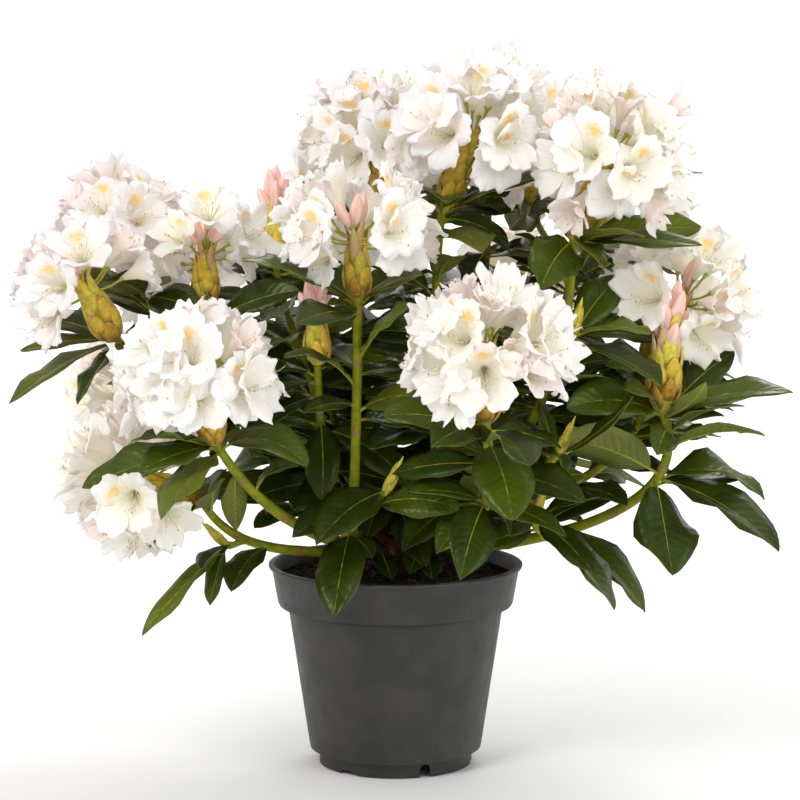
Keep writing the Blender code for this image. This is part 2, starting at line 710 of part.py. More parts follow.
class Crown:
    """Holds every solid grown so far, and says whether a new one has room."""

    def __init__(self):
        self.pieces = []

    def add(self, owner, kind, points, faces):
        self.pieces.append((owner, kind, BVHTree.FromPolygons(points, faces), *extent(points)))

    def has_room(self, owner, points, faces, own_kinds=()):
        """True where the shape meets nothing of another owner, and nothing of its own of these kinds."""
        low, high = extent(points)
        tree = BVHTree.FromPolygons(points, faces)
        for other, kind, found, least, most in self.pieces:
            if other == owner and kind not in own_kinds:
                continue
            if any(high[axis] < least[axis] or low[axis] > most[axis] for axis in range(3)):
                continue
            if tree.overlap(found):
                return False
        return True


def extent(points):
    """The lowest and the highest corner of the box round some points."""
    low = [min(point[axis] for point in points) for axis in range(3)]
    high = [max(point[axis] for point in points) for axis in range(3)]
    return low, high


def trunk_route():
    foot = Vector((*TRUNK_FOOT, SOIL_TOP + GAP))
    top = Vector((TRUNK_FOOT[0] + TRUNK_LEAN[0], TRUNK_FOOT[1] + TRUNK_LEAN[1], TRUNK_TOP))
    return [foot.lerp(top, share) for share in (0.0, 0.2, 0.55, 0.85, 1.0)]


def limb_route(name):
    """The middle line of a limb. One on the trunk starts off its axis, on the side that it heads for."""
    if name == "trunk":
        return trunk_route()
    limb = LIMBS[name]
    parent = limb_route(limb.parent)
    root, _ = point_at(parent, lengths_along(parent)[-1] * limb.at)
    if limb.parent == "trunk":
        root += heading(limb.sets_out[0], 0) * TRUNK_RADIUS * LIMB_SEAT
    return curve_between(root, heading(*limb.sets_out), Vector(limb.head), heading(*limb.arrives))


def limb_stretch(name, start, stop, gap=0.0):
    """A limb between two shares of its length, less a gap at the start."""
    route = limb_route(name)
    total = lengths_along(route)[-1]
    first, last = (radius / 1000 for radius in LIMBS[name].radii)
    begin, end = total * start + gap, total * stop
    part = part_of_route(route, begin, end)
    radii = tapering(part, first + (last - first) * start, first + (last - first) * stop)
    return Stretch(part, radii, (point_at(route, begin)[1], point_at(route, end)[1]))


def grow_limbs(crown):
    """The trunk, then each bough, cut clear of all that it springs from or passes."""
    bark = bark_material()
    trunk_radii = [TRUNK_FLARE, TRUNK_RADIUS * 1.12, TRUNK_RADIUS, TRUNK_RADIUS * 0.92, TRUNK_RADIUS * 0.55]
    level = Vector((0, 0, 1))
    tubes = {"trunk": (Stretch(trunk_route(), trunk_radii, (level, level)), TRUNK_SIDES)}
    for name, limb in LIMBS.items():
        if limb.bough:
            tubes["bough_" + name] = (limb_stretch(name, 0.0, limb.bough), LIMB_SIDES)
    grown = {}
    for name, way in tubes.items():
        shape = tube(*way)
        item = mesh_object(name, *shape, bark)
        for other in grown:
            around = tube(*tubes[other], swell=GAP * 1.3)
            if BVHTree.FromPolygons(*shape).overlap(BVHTree.FromPolygons(*around)):
                cutter = mesh_object("cutter", *around)
                apply_boolean(item, "DIFFERENCE", cutter, solver=SOLVER)
                bpy.data.objects.remove(cutter)
        keep_largest_shell(item)
        item.data.shade_smooth()
        grown[name] = item
        crown.add(name, "limb", *shape_of(item))
    return grown


def shape_of(item):
    """The points and faces of an object."""
    points = [vert.co.copy() for vert in item.data.vertices]
    return points, [tuple(face.vertices) for face in item.data.polygons]


def mass_shoots(name):
    """The stem of a mass and each of its twigs, by the name of the shoot."""
    bough = LIMBS[name].bough
    stem = limb_stretch(name, bough, 1.0, GAP * 1.2 if bough else 0.0)
    shoots = {name: stem}
    for twig, (mass, at, head) in TWIGS.items():
        if mass == name:
            root, along = point_at(stem.route, lengths_along(stem.route)[-1] * at)
            towards = (Vector(head) - root).normalized()
            upward = (towards + Vector((0, 0, TWIG_RISE))).normalized()
            route = curve_between(root, (along + towards).normalized(), Vector(head), upward)
            shoots[twig] = Stretch(route, [TWIG_RADIUS] * len(route))
    return shoots


def shoot_axis(shoot, route):
    """Which way the truss or the bud at the head of a shoot points."""
    if shoot in TRUSSES:
        return heading(TRUSSES[shoot].bearing, TRUSSES[shoot].pitch)
    return ((route[-1] - route[-2]).normalized() + Vector((0, 0, SHOOT_RISE))).normalized()


def leaning(root, bearing):
    """The roll that turns a leaf's face outward from the plant's shaded middle, behind the trunk."""
    outward = Vector((root.x, root.y - SHADE_MIDDLE, 0)).normalized()
    return LEAF_LEAN * heading(bearing - 90, 0).dot(outward)


def try_leaf(crown, mass, stretch, wanted, moves):
    """Sets one leaf on its shoot, turned a little aside where the place is taken, or not at all."""
    back, bearing, pitch, length, *more = wanted
    droop, breadth, roll = (*more, *(LEAF_DROOP, LEAF_BREADTH, None)[len(more):])
    centre, _ = point_at(stretch.route, lengths_along(stretch.route)[-1] - back / 1000)
    for turn, tilt, scale in moves:
        root = centre + heading(bearing + turn, 0) * stretch.radii[-1] * LEAF_SEAT
        lean = leaning(root, bearing + turn) if roll is None else roll
        leaf = Leaf(root, bearing + turn, pitch + tilt, length * scale / 1000, droop, breadth, lean)
        swollen = leaf_shape(leaf, swell=GAP * 2)
        if not crown.has_room(mass, *swollen):
            continue
        if crown.has_room(mass, *blade_only(*swollen), own_kinds=("blade", "cone", "blossom")):
            shape = leaf_shape(leaf)
            crown.add(mass, "leaf", *shape)
            crown.add(mass, "blade", *blade_only(*shape))
            return shape
    return None


def ruled_leaves(shoot, chance):
    """The leaves that follow the rule: a whorl round the head, then a looser one in each tier below."""
    bearing = chance.uniform(0, 360)
    for tier, count in enumerate(TIERS.get(shoot, USUAL_TIERS)):
        for _ in range(count):
            bearing += GOLDEN_ANGLE + chance.uniform(-TURN_CHANGE, TURN_CHANGE)
            back = WHORL_TOP + tier * TIER_STEP + chance.uniform(0, WHORL_DEPTH)
            pitch = chance.uniform(*(TIER_PITCHES if tier else WHORL_PITCHES))
            length = chance.uniform(*LEAF_LENGTHS)
            yield back, bearing, pitch, length, chance.uniform(*LEAF_DROOPS), chance.uniform(*LEAF_BREADTHS)


def truss_blossoms(truss, head, chance):
    """Whether each blossom of a truss is open, its root, direction and size, evenly over the dome."""
    axis = heading(truss.bearing, truss.pitch)
    total = truss.blossoms + truss.buds
    across = axis.orthogonal().normalized()
    start = chance.uniform(0, 360)
    widest = math.radians(OPEN_SPREAD if truss.blossoms > truss.buds else CLOSED_SPREAD)
    for number in range(total):
        share = (number + 0.5) / total
        polar = math.acos(1 - share * (1 - math.cos(widest)))
        out = axis * math.cos(polar) + across * math.sin(polar)
        out = Matrix.Rotation(math.radians(start + number * GOLDEN_ANGLE), 3, axis) @ out
        if truss.bare is not None:
            out = turned_aside(out, truss.bare)
        root = head + axis * truss.middle / 1000 * (CONE_SHARE - CONE_DEPTH * share)
        size = truss.size * chance.uniform(1 - BLOSSOM_CHANGE, 1 + BLOSSOM_CHANGE)
        yield number >= truss.buds, root, out, size


def turned_aside(out, bare):
    """Turns a blossom away from the side of its truss where the cone of bracts shows."""
    off = (math.degrees(math.atan2(out.y, out.x)) - bare + 180) % 360 - 180
    if abs(off) > BARE_TURN or out.z > BARE_TOP:
        return out
    return Matrix.Rotation(math.radians(math.copysign(BARE_TURN, off) - off), 3, "Z") @ out


def grow_truss(crown, mass, shoot, head):
    """The blossoms and buds of one truss, each made smaller where a neighbour is in its way."""
    chance = random.Random(f"{SEED} truss {shoot}")
    grown = []
    for opened, root, out, size in truss_blossoms(TRUSSES[shoot], head, chance):
        make = blossom_shape if opened else bud_shape
        for scale in BLOSSOM_SCALES:
            around = make(root, out, size * scale, swell=GAP * 1.5)
            if crown.has_room(mass, *around, own_kinds=("blade",)):
                grown.append(make(root, out, size * scale))
                crown.add(mass, "blossom", *grown[-1])
                break
    return grown


def grow_masses(crown):
    """Every mass in four rounds: stems and cones, leaves set by hand, trusses, then the other leaves."""
    pieces = {name: [] for name in LIMBS}
    shoots = [(name, shoot, stretch) for name in LIMBS for shoot, stretch in mass_shoots(name).items()]
    for name, shoot, stretch in shoots:
        head = stretch.route[-1]
        axis = shoot_axis(shoot, stretch.route)
        stem = tube(stretch, STEM_SIDES if shoot == name else TWIG_SIDES)
        if shoot in TRUSSES:
            top = cone_shape(head, axis, TRUSSES[shoot].middle / 1000 * CONE_SHARE)
        else:
            top = leaf_bud_shape(head, axis)
        pieces[name] += [stem, top]
        crown.add(name, "stem", *stem)
        crown.add(name, "cone", *top)
    for name, shoot, stretch in shoots:
        for wanted in LEAVES.get(shoot, []):
            pieces[name].append(try_leaf(crown, name, stretch, wanted, SMALL_MOVES))
    for name, shoot, stretch in shoots:
        if shoot in TRUSSES:
            pieces[name] += grow_truss(crown, name, shoot, stretch.route[-1])
    for name, shoot, stretch in shoots:
        for wanted in ruled_leaves(shoot, random.Random(f"{SEED} leaves {shoot}")):
            pieces[name].append(try_leaf(crown, name, stretch, wanted, WIDE_MOVES))
    return {name: [piece for piece in found if piece] for name, found in pieces.items()}


def fuse_mass(name, pieces, limbs, foliage):
    """One Boolean union on a collection joins the twigs, leaves and blossoms of a mass to its stem."""
    stem = mesh_object("mass_" + name, *pieces[0], foliage)
    group = bpy.data.collections.new("pieces_" + name)
    bpy.context.scene.collection.children.link(group)
    for points, faces in pieces[1:]:
        item = mesh_object("piece", points, faces)
        bpy.context.scene.collection.objects.unlink(item)
        group.objects.link(item)
    apply_boolean(stem, "UNION", collection=group, solver=SOLVER)
    for item in list(group.objects):
        bpy.data.objects.remove(item)
    bpy.data.collections.remove(group)
    if not LIMBS[name].bough:
        cut_clear(stem, limbs["bough_" + LIMBS[name].parent])
    keep_largest_shell(stem)
    return stem


def cut_clear(item, limb):
    """Cuts an object back from a limb that it stands on, by a little more than the gap."""
    shape = bmesh.new()
    shape.from_mesh(limb.data)
    shape.normal_update()
    for vert in shape.verts:
        vert.co += vert.normal * GAP * 1.6
    data = bpy.data.meshes.new("cutter")
    shape.to_mesh(data)
    shape.free()
    cutter = bpy.data.objects.new("cutter", data)
    bpy.context.scene.collection.objects.link(cutter)
    apply_boolean(item, "DIFFERENCE", cutter, solver=SOLVER)
    bpy.data.objects.remove(cutter)


def main():
    clear_scene()
    crown = Crown()
    for item in (make_pot(), make_soil()):
        crown.add(item.name, "pot", *shape_of(item))
    limbs = grow_limbs(crown)
    foliage = foliage_material()
    for name, pieces in grow_masses(crown).items():
        fuse_mass(name, pieces, limbs, foliage)


main()
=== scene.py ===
import json
import math
import random
from typing import NamedTuple

import bpy
import numpy as np
from mathutils import Matrix, Vector, noise
from mathutils.bvhtree import BVHTree

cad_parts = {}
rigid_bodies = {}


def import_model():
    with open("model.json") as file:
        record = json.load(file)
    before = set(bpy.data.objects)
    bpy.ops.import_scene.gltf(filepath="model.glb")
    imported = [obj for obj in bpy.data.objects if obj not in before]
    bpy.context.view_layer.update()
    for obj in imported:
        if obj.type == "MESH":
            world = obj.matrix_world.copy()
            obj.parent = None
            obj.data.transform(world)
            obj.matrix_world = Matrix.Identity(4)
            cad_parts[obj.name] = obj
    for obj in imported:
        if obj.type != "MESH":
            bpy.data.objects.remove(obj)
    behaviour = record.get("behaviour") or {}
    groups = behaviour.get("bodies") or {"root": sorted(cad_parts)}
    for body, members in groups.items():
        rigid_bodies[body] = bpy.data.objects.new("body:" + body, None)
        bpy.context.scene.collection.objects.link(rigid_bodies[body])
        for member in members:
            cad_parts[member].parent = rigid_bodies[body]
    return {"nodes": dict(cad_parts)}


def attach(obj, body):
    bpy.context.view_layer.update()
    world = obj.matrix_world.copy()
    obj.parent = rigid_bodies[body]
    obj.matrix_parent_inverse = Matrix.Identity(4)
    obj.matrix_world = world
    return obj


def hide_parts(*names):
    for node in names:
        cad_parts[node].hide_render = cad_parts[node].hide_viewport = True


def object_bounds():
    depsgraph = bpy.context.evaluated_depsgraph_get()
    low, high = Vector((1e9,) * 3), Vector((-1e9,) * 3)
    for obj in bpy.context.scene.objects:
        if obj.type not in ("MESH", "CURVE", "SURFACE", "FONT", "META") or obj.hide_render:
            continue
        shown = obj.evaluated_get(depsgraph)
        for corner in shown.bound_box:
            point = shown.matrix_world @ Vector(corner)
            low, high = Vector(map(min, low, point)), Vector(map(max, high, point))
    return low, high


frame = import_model()
cad_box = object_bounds()

# The pot: one thin shell of charcoal plastic, moulded with a deep rim band, a rolled lip and a foot ring.
# It is drawn up ring by ring from a filled circle, its edges are rounded, and then the foot is notched
# and the floor is drilled.
POT_HEIGHT = 0.1806
POT_WALL = 0.0020
LIP_RADIUS = 0.1135
LIP_HEIGHT = 0.0031
BAND_TOP_RADIUS = 0.1107
BAND_LOW_RADIUS = 0.1052
BAND_HEIGHT = 0.0340
BAND_LOW = POT_HEIGHT - LIP_HEIGHT - BAND_HEIGHT
BODY_TOP_RADIUS = 0.0957
BODY_LOW_RADIUS = 0.0775
FOOT_RADIUS = 0.0685
FOOT_HEIGHT = 0.0130
SHOULDER = 0.0030
BOSS_RADIUS = 0.0150
POT_SIDES = 96
NOTCHES = 6
NOTCH_BEARING = -67.6
DEEP_NOTCH = (0.0100, 0.0115)  # width and height
SHALLOW_NOTCH = (0.0180, 0.0030)
DRAIN_CIRCLE = 0.0480
DRAIN_RADIUS = 0.0045
DRAIN_SIDES = 20


def heading(bearing, pitch):
    """The direction with this bearing from +X and this pitch above the level, in degrees."""
    turn, rise = math.radians(bearing), math.radians(pitch)
    return Vector((math.cos(turn) * math.cos(rise), math.sin(turn) * math.cos(rise), math.sin(rise)))


def drawn_up(name, outline, sides):
    """A closed solid drawn up from a filled circle, one extruded ring for each radius and height."""
    radius, height = outline[0]
    bpy.ops.object.select_all(action="DESELECT")
    bpy.ops.mesh.primitive_circle_add(
        vertices=sides, radius=radius, fill_type="NGON", location=(0, 0, height))
    piece = bpy.context.object
    piece.name = name
    bpy.ops.object.transform_apply(location=True, rotation=True, scale=True)
    bpy.ops.object.mode_set(mode="EDIT")
    for next_radius, next_height in outline[1:]:
        bpy.ops.mesh.extrude_region_move(
            TRANSFORM_OT_translate={"value": (0, 0, next_height - height)})
        share = next_radius / radius
        bpy.ops.transform.resize(value=(share, share, 1), center_override=(0, 0, next_height))
        radius, height = next_radius, next_height
    bpy.ops.mesh.select_all(action="SELECT")
    bpy.ops.mesh.normals_make_consistent(inside=False)
    bpy.ops.object.mode_set(mode="OBJECT")
    return piece


def choose(piece):
    """Makes this piece the active one, and the only one selected."""
    bpy.ops.object.select_all(action="DESELECT")
    piece.select_set(True)
    bpy.context.view_layer.objects.active = piece


def finish_with(piece, kind, **settings):
    """Adds a modifier with these settings and applies it."""
    change = piece.modifiers.new(kind.lower(), kind)
    for setting, value in settings.items():
        setattr(change, setting, value)
    choose(piece)
    bpy.ops.object.modifier_apply(modifier=change.name)


def cut_away(piece, cutter):
    """Cuts one solid out of another and removes it."""
    finish_with(piece, "BOOLEAN", operation="DIFFERENCE", object=cutter, solver="EXACT")
    bpy.data.objects.remove(cutter)


def node(tree, kind, inputs=None, **settings):
    """Adds a shader node, sets it up, and fills its inputs with values or with other sockets."""
    made = tree.nodes.new(kind)
    for setting, value in settings.items():
        setattr(made, setting, value)
    for name, value in (inputs or {}).items():
        if isinstance(value, bpy.types.NodeSocket):
            tree.links.new(value, made.inputs[name])
        else:
            made.inputs[name].default_value = value
    return made


def finish_of(name, colour, roughness, **sockets):
    """A material with a plain Principled finish, its node tree and its shader."""
    material = bpy.data.materials.new(name)
    material.use_nodes = True
    shader = material.node_tree.nodes["Principled BSDF"]
    shader.inputs["Base Color"].default_value = (*colour, 1)
    shader.inputs["Roughness"].default_value = roughness
    for socket, value in sockets.items():
        shader.inputs[socket.replace("_", " ")].default_value = value
    return material, material.node_tree, shader


def new_group(name, given, results):
    """A node group with these sockets, and its input and output nodes."""
    group = bpy.data.node_groups.new(name, "ShaderNodeTree")
    for side, sockets in (("INPUT", given), ("OUTPUT", results)):
        for socket, kind in sockets.items():
            group.interface.new_socket(socket, in_out=side, socket_type="NodeSocket" + kind)
    return group, group.nodes.new("NodeGroupInput"), group.nodes.new("NodeGroupOutput")


def ranged(tree, value, low, high, start=0.0, end=1.0):
    """A value carried over from one range to another, and held inside it."""
    return node(tree, "ShaderNodeMapRange", {
        "Value": value, "From Min": low, "From Max": high,
        "To Min": start, "To Max": end}).outputs["Result"]


def mixed(tree, mask, first, second):
    """A blend by a mask of two colours, each of them given as three numbers or by another node."""
    ends = [end if isinstance(end, bpy.types.NodeSocket) else (*end, 1) for end in (first, second)]
    blend = node(tree, "ShaderNodeMix", {"Factor": mask, 6: ends[0], 7: ends[1]}, data_type="RGBA")
    return blend.outputs[2]


def mottle_group():
    """Soft patches that wander over a surface: a mask and a height, with their own scale and spread."""
    group, given, result = new_group(
        "mottle", dict.fromkeys(("Scale", "Detail", "Low", "High"), "Float"),
        dict.fromkeys(("Mask", "Height"), "Float"))
    place = node(group, "ShaderNodeTexCoord")
    patches = node(group, "ShaderNodeTexNoise", {
        "Vector": place.outputs["Object"], "Scale": given.outputs["Scale"],
        "Detail": given.outputs["Detail"], "Roughness": 0.6}).outputs["Fac"]
    spread = ranged(group, patches, given.outputs["Low"], given.outputs["High"])
    group.links.new(spread, result.inputs["Mask"])
    group.links.new(patches, result.inputs["Height"])
    return group


MOTTLE = mottle_group()


def mottled(tree, scale, low=0.35, high=0.65, detail=4.0):
    """Soft patches of this scale. Its outputs are a mask and a height."""
    return node(tree, "ShaderNodeGroup", {"Scale": scale, "Low": low, "High": high, "Detail": detail},
                node_tree=MOTTLE)


def two_tone(tree, shader, mask, first, second, socket="Base Color"):
    """Feeds a socket with a blend of two colours or values, by a mask."""
    plain = isinstance(first, float)
    blend = ranged(tree, mask, 0.0, 1.0, first, second) if plain else mixed(tree, mask, first, second)
    tree.links.new(blend, shader.inputs[socket])


def bumped(tree, shader, height, distance, strength):
    """Raises a surface by a height."""
    bump = node(tree, "ShaderNodeBump", {"Height": height, "Distance": distance, "Strength": strength})
    tree.links.new(bump.outputs["Normal"], shader.inputs["Normal"])


def worn_plastic():
    """Matt charcoal plastic with dusty handling marks, paler in patches, and a fine moulded grain."""
    material, tree, shader = finish_of("pot_plastic", (0.045, 0.045, 0.044), 0.5, Specular_IOR_Level=0.45)
    dust = mottled(tree, 22.0, 0.38, 0.72, 6.0)
    two_tone(tree, shader, dust.outputs["Mask"], (0.021, 0.021, 0.0205), (0.039, 0.038, 0.036))
    rub = mottled(tree, 60.0, 0.3, 0.7, 3.0)
    two_tone(tree, shader, rub.outputs["Mask"], 0.46, 0.60, "Roughness")
    grain = mottled(tree, 900.0, 0.3, 0.7, 2.0)
    bumped(tree, shader, grain.outputs["Height"], 0.0002, 0.35)
    return material


pot = drawn_up("nursery_pot", [
    (BOSS_RADIUS, 0.0),
    (BOSS_RADIUS, FOOT_HEIGHT - POT_WALL * 0.75),
    (FOOT_RADIUS - POT_WALL, FOOT_HEIGHT - POT_WALL * 0.75),
    (FOOT_RADIUS - POT_WALL, 0.0),
    (FOOT_RADIUS, 0.0),
    (FOOT_RADIUS, FOOT_HEIGHT),
    (BODY_LOW_RADIUS - SHOULDER * 0.9, FOOT_HEIGHT),
    (BODY_LOW_RADIUS - SHOULDER * 0.3, FOOT_HEIGHT + SHOULDER * 0.4),
    (BODY_LOW_RADIUS, FOOT_HEIGHT + SHOULDER * 2),
    (BODY_TOP_RADIUS, BAND_LOW - SHOULDER),
    (BODY_TOP_RADIUS + SHOULDER * 0.5, BAND_LOW - SHOULDER * 0.5),
    (BAND_LOW_RADIUS - SHOULDER, BAND_LOW),
    (BAND_LOW_RADIUS - SHOULDER * 0.4, BAND_LOW + SHOULDER * 0.2),
    (BAND_LOW_RADIUS, BAND_LOW + SHOULDER),
    (BAND_TOP_RADIUS, POT_HEIGHT - LIP_HEIGHT),
    (LIP_RADIUS - 0.0004, POT_HEIGHT - LIP_HEIGHT),
    (LIP_RADIUS, POT_HEIGHT - LIP_HEIGHT * 0.6),
    (LIP_RADIUS - 0.0002, POT_HEIGHT - 0.0005),
    (LIP_RADIUS - 0.0009, POT_HEIGHT),
    (BAND_TOP_RADIUS - POT_WALL, POT_HEIGHT),
    (BAND_LOW_RADIUS - POT_WALL, BAND_LOW + SHOULDER + POT_WALL / 2),
    (BODY_TOP_RADIUS - POT_WALL, BAND_LOW - SHOULDER + POT_WALL),
    (BODY_LOW_RADIUS - POT_WALL, FOOT_HEIGHT + POT_WALL),
    (BOSS_RADIUS, FOOT_HEIGHT + POT_WALL),
], POT_SIDES)
finish_with(pot, "BEVEL", width=0.0004, segments=2, limit_method="ANGLE", angle_limit=math.radians(50))
for number in range(NOTCHES):
    bearing = NOTCH_BEARING + number * 360 / NOTCHES
    width, height = SHALLOW_NOTCH if number % 2 else DEEP_NOTCH
    bpy.ops.mesh.primitive_cube_add(
        size=1, location=heading(bearing, 0) * FOOT_RADIUS, rotation=(0, 0, math.radians(bearing)),
        scale=(FOOT_RADIUS * 0.3, width, height * 2))
    finish_with(bpy.context.object, "BEVEL", width=0.08, segments=3, limit_method="ANGLE")
    cut_away(pot, bpy.context.object)
    hole = heading(bearing + 180 / NOTCHES, 0) * DRAIN_CIRCLE + Vector((0, 0, FOOT_HEIGHT))
    bpy.ops.mesh.primitive_cylinder_add(
        vertices=DRAIN_SIDES, radius=DRAIN_RADIUS, depth=FOOT_HEIGHT, location=hole)
    cut_away(pot, bpy.context.object)
choose(pot)
bpy.ops.object.shade_smooth_by_angle(angle=math.radians(35))
pot.data.materials.append(worn_plastic())
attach(pot, "root")
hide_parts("pot")

# The compost: dark peat and composted bark, settled into a low crust with a hollow along the pot's wall.
# The body is drawn up inside the pot and ringed inward over its top, then its crust is raised and sunk;
# loose crumbs and chips of bark lie on it.
SOIL_TOP = 0.1710
SOIL_EDGE = SOIL_TOP - 0.0025
SOIL_BANK = 0.018
SOIL_CLEAR = POT_WALL + 0.0006
SOIL_RINGS = 44
SOIL_SIDES = 140
LUMP_SCALE, LUMP_HEIGHT = 60, 0.0016
GRAIN_SCALE, GRAIN_HEIGHT = 330, 0.0013
CRUMBS = 2600
CHIP_EVERY = 26
CRUMB_SIZES = (0.0004, 0.0013)
edge_slope = (BAND_TOP_RADIUS - BAND_LOW_RADIUS) / (POT_HEIGHT - LIP_HEIGHT - BAND_LOW - SHOULDER)
SOIL_RADIUS = BAND_LOW_RADIUS + edge_slope * (SOIL_EDGE - BAND_LOW - SHOULDER) - SOIL_CLEAR


def soil_height(x, y):
    """The crust: level in the middle, lower by the wall, crumbly all over."""
    reach = math.hypot(x, y)
    level = SOIL_EDGE + (SOIL_TOP - SOIL_EDGE) * min(1, (SOIL_RADIUS - reach) / SOIL_BANK)
    lumps = noise.noise(Vector((x, y, 0.3)) * LUMP_SCALE) * LUMP_HEIGHT
    grains = noise.noise(Vector((x, y, 0.9)) * GRAIN_SCALE) * GRAIN_HEIGHT
    return level + lumps + grains - LUMP_HEIGHT / 2


def peat(name, dark, pale, scale):
    """Damp peat: near black, with browner fibres and no shine."""
    material, tree, shader = finish_of(name, dark, 0.95, Specular_IOR_Level=0.15)
    fibres = mottled(tree, scale, 0.4, 0.7, 6.0)
    two_tone(tree, shader, fibres.outputs["Mask"], dark, pale)
    bumped(tree, shader, fibres.outputs["Height"], 0.001, 0.8)
    return material


outline = [
    (BODY_LOW_RADIUS - SOIL_CLEAR, FOOT_HEIGHT + SOIL_CLEAR),
    (BODY_TOP_RADIUS - SOIL_CLEAR, BAND_LOW - SHOULDER + SOIL_CLEAR),
    (BAND_LOW_RADIUS - SOIL_CLEAR, BAND_LOW + SHOULDER + SOIL_CLEAR / 2),
]
outline += [(SOIL_RADIUS * (1 - ring / SOIL_RINGS), SOIL_EDGE) for ring in range(SOIL_RINGS)]
compost = drawn_up("compost_crust", outline, SOIL_SIDES)
for vertex in compost.data.vertices:
    if vertex.co.z > SOIL_EDGE - 0.001:
        vertex.co.z = soil_height(vertex.co.x, vertex.co.y)
compost.data.materials.append(peat("peat", (0.020, 0.011, 0.007), (0.060, 0.032, 0.018), 240.0))
compost.data.shade_smooth()
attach(compost, "root")
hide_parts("compost")


class Heap:
    """Small shapes gathered to be joined as one piece: points, faces, the slot of each face, and maps."""

    def __init__(self):
        self.points, self.faces, self.slots, self.uvs, self.tints = [], [], [], [], []
        self.count = 0

    def add(self, points, faces, slots=0, uvs=None, tints=None):
        """Takes in one shape. Its slots are one number for all its faces or a list with one for each."""
        points = np.asarray(points, float).reshape(-1, 3)
        self.points.append(points)
        self.faces += [tuple(corner + self.count for corner in face) for face in faces]
        self.slots += list(slots) if hasattr(slots, "__len__") else [slots] * len(faces)
        if uvs is not None:
            self.uvs.append(np.asarray(uvs, float).reshape(-1, 2))
        if tints is not None:
            self.tints.append(np.asarray(tints, float).ravel())
        self.count += len(points)

    def joined(self, name, materials, smooth=True):
        """One mesh object of all that was gathered, riding on the plant."""
        mesh = bpy.data.meshes.new(name)
        mesh.from_pydata(np.concatenate(self.points).tolist(), [], self.faces)
        for material in materials:
            mesh.materials.append(material)
        mesh.polygons.foreach_set("material_index", np.array(self.slots, np.int32))
        if self.uvs:
            corners = np.zeros(len(mesh.loops), np.int32)
            mesh.loops.foreach_get("vertex_index", corners)
            uv_map = mesh.uv_layers.new(name="along")
            uv_map.data.foreach_set("uv", np.concatenate(self.uvs)[corners].astype(np.float32).ravel())
        if self.tints:
            tint = mesh.attributes.new("tint", "FLOAT", "POINT")
            tint.data.foreach_set("value", np.concatenate(self.tints).astype(np.float32))
        if smooth:
            mesh.shade_smooth()
        piece = bpy.data.objects.new(name, mesh)
        bpy.context.scene.collection.objects.link(piece)
        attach(piece, "root")
        return piece


chance = random.Random("crumbs")
CUBE_CORNERS = [Vector((x, y, z)) for x in (-1, 1) for y in (-1, 1) for z in (-1, 1)]
CUBE_FACES = [(0, 1, 3, 2), (4, 6, 7, 5), (0, 4, 5, 1), (2, 3, 7, 6), (0, 2, 6, 4), (1, 5, 7, 3)]
crumbs = Heap()
for number in range(CRUMBS):
    reach = math.sqrt(chance.random()) * (SOIL_RADIUS - 0.003)
    turn = chance.uniform(0, math.tau)
    x, y = reach * math.cos(turn), reach * math.sin(turn)
    chip = number % CHIP_EVERY == 0
    size = chance.uniform(*CRUMB_SIZES)
    stretch = Vector((chance.uniform(2.5, 5.0), 1.2, 0.5)) if chip else Vector((1.0, 0.8, 0.6))
    spin = Matrix.Rotation(chance.uniform(0, math.tau), 3, "Z")
    spin @= Matrix.Rotation(chance.uniform(-0.5, 0.5), 3, "X")
    middle = Vector((x, y, soil_height(x, y) + size * 0.2))
    corners = [middle + spin @ (corner * chance.uniform(0.6, 1.1) * stretch * size)
               for corner in CUBE_CORNERS]
    crumbs.add(corners, CUBE_FACES, 2 if chip else (chance.random() < 0.3))
crumb_piece = crumbs.joined("compost_crumbs", [
    peat("crumb_dark", (0.022, 0.012, 0.008), (0.045, 0.024, 0.014), 500.0),
    peat("crumb_brown", (0.055, 0.026, 0.014), (0.110, 0.055, 0.030), 500.0),
    peat("bark_chip", (0.090, 0.048, 0.024), (0.200, 0.120, 0.065), 700.0)], smooth=False)

# The trunk and its boughs: a short woody stem that forks just above the compost. The wood is brown and
# flaky by the fork and turns to smooth green further out, with a ring of scars where each year's growth
# began. Every limb is swept as a tube along a smooth curve and its bark is raised over that.
TRUNK_FOOT = Vector((0.002, 0.002, SOIL_TOP + 0.0003))
TRUNK_HEAD = Vector((0.0035, 0.0005, 0.2030))
TRUNK_RADIUS = 0.0125
TRUNK_RADII = [0.0175, TRUNK_RADIUS * 1.12, TRUNK_RADIUS, TRUNK_RADIUS * 0.92, TRUNK_RADIUS * 0.55]
TRUNK_SHARES = [0.0, 0.2, 0.55, 0.85, 1.0]
LIMB_SEAT = 0.6
LIMB_SWEEP = 0.40
LIMB_FLARE, FLARE_LENGTH = 0.0022, 0.016
TRUNK_SIDES = 22
BOUGH_SIDES = 14
TRUNK_STEP = 0.0022
WOOD_STEP = 0.0025
YEAR = 0.062
YEARS = 7
FIRST_SCAR = 0.010
SCAR_FOLDS = (0.0, 0.0024, 0.0045)
SCAR_HALF = 0.0007
SCAR_HEIGHT = 0.00035
PLATE_HEIGHT, FLAKE_HEIGHT = 0.0012, 0.0006
SMOOTH_BARK = 0.10  # the relief of the green bark, over that of the old wood
WOODY_UNTIL = 0.035
GREEN_FROM = 0.075
GREEN_BARK = (0.180, 0.200, 0.007), (0.330, 0.350, 0.014)


class Limb(NamedTuple):
    """A limb, from its root on another limb to the head of the shoot that it ends in."""

    parent: str
    at: float  # how far up its parent it springs, as a share
    sets_out: tuple  # bearing and pitch
    head: tuple
    arrives: tuple
    radii: tuple  # millimetres, at its foot and at its head
    bough: float  # the share of it that is wood and not green stem


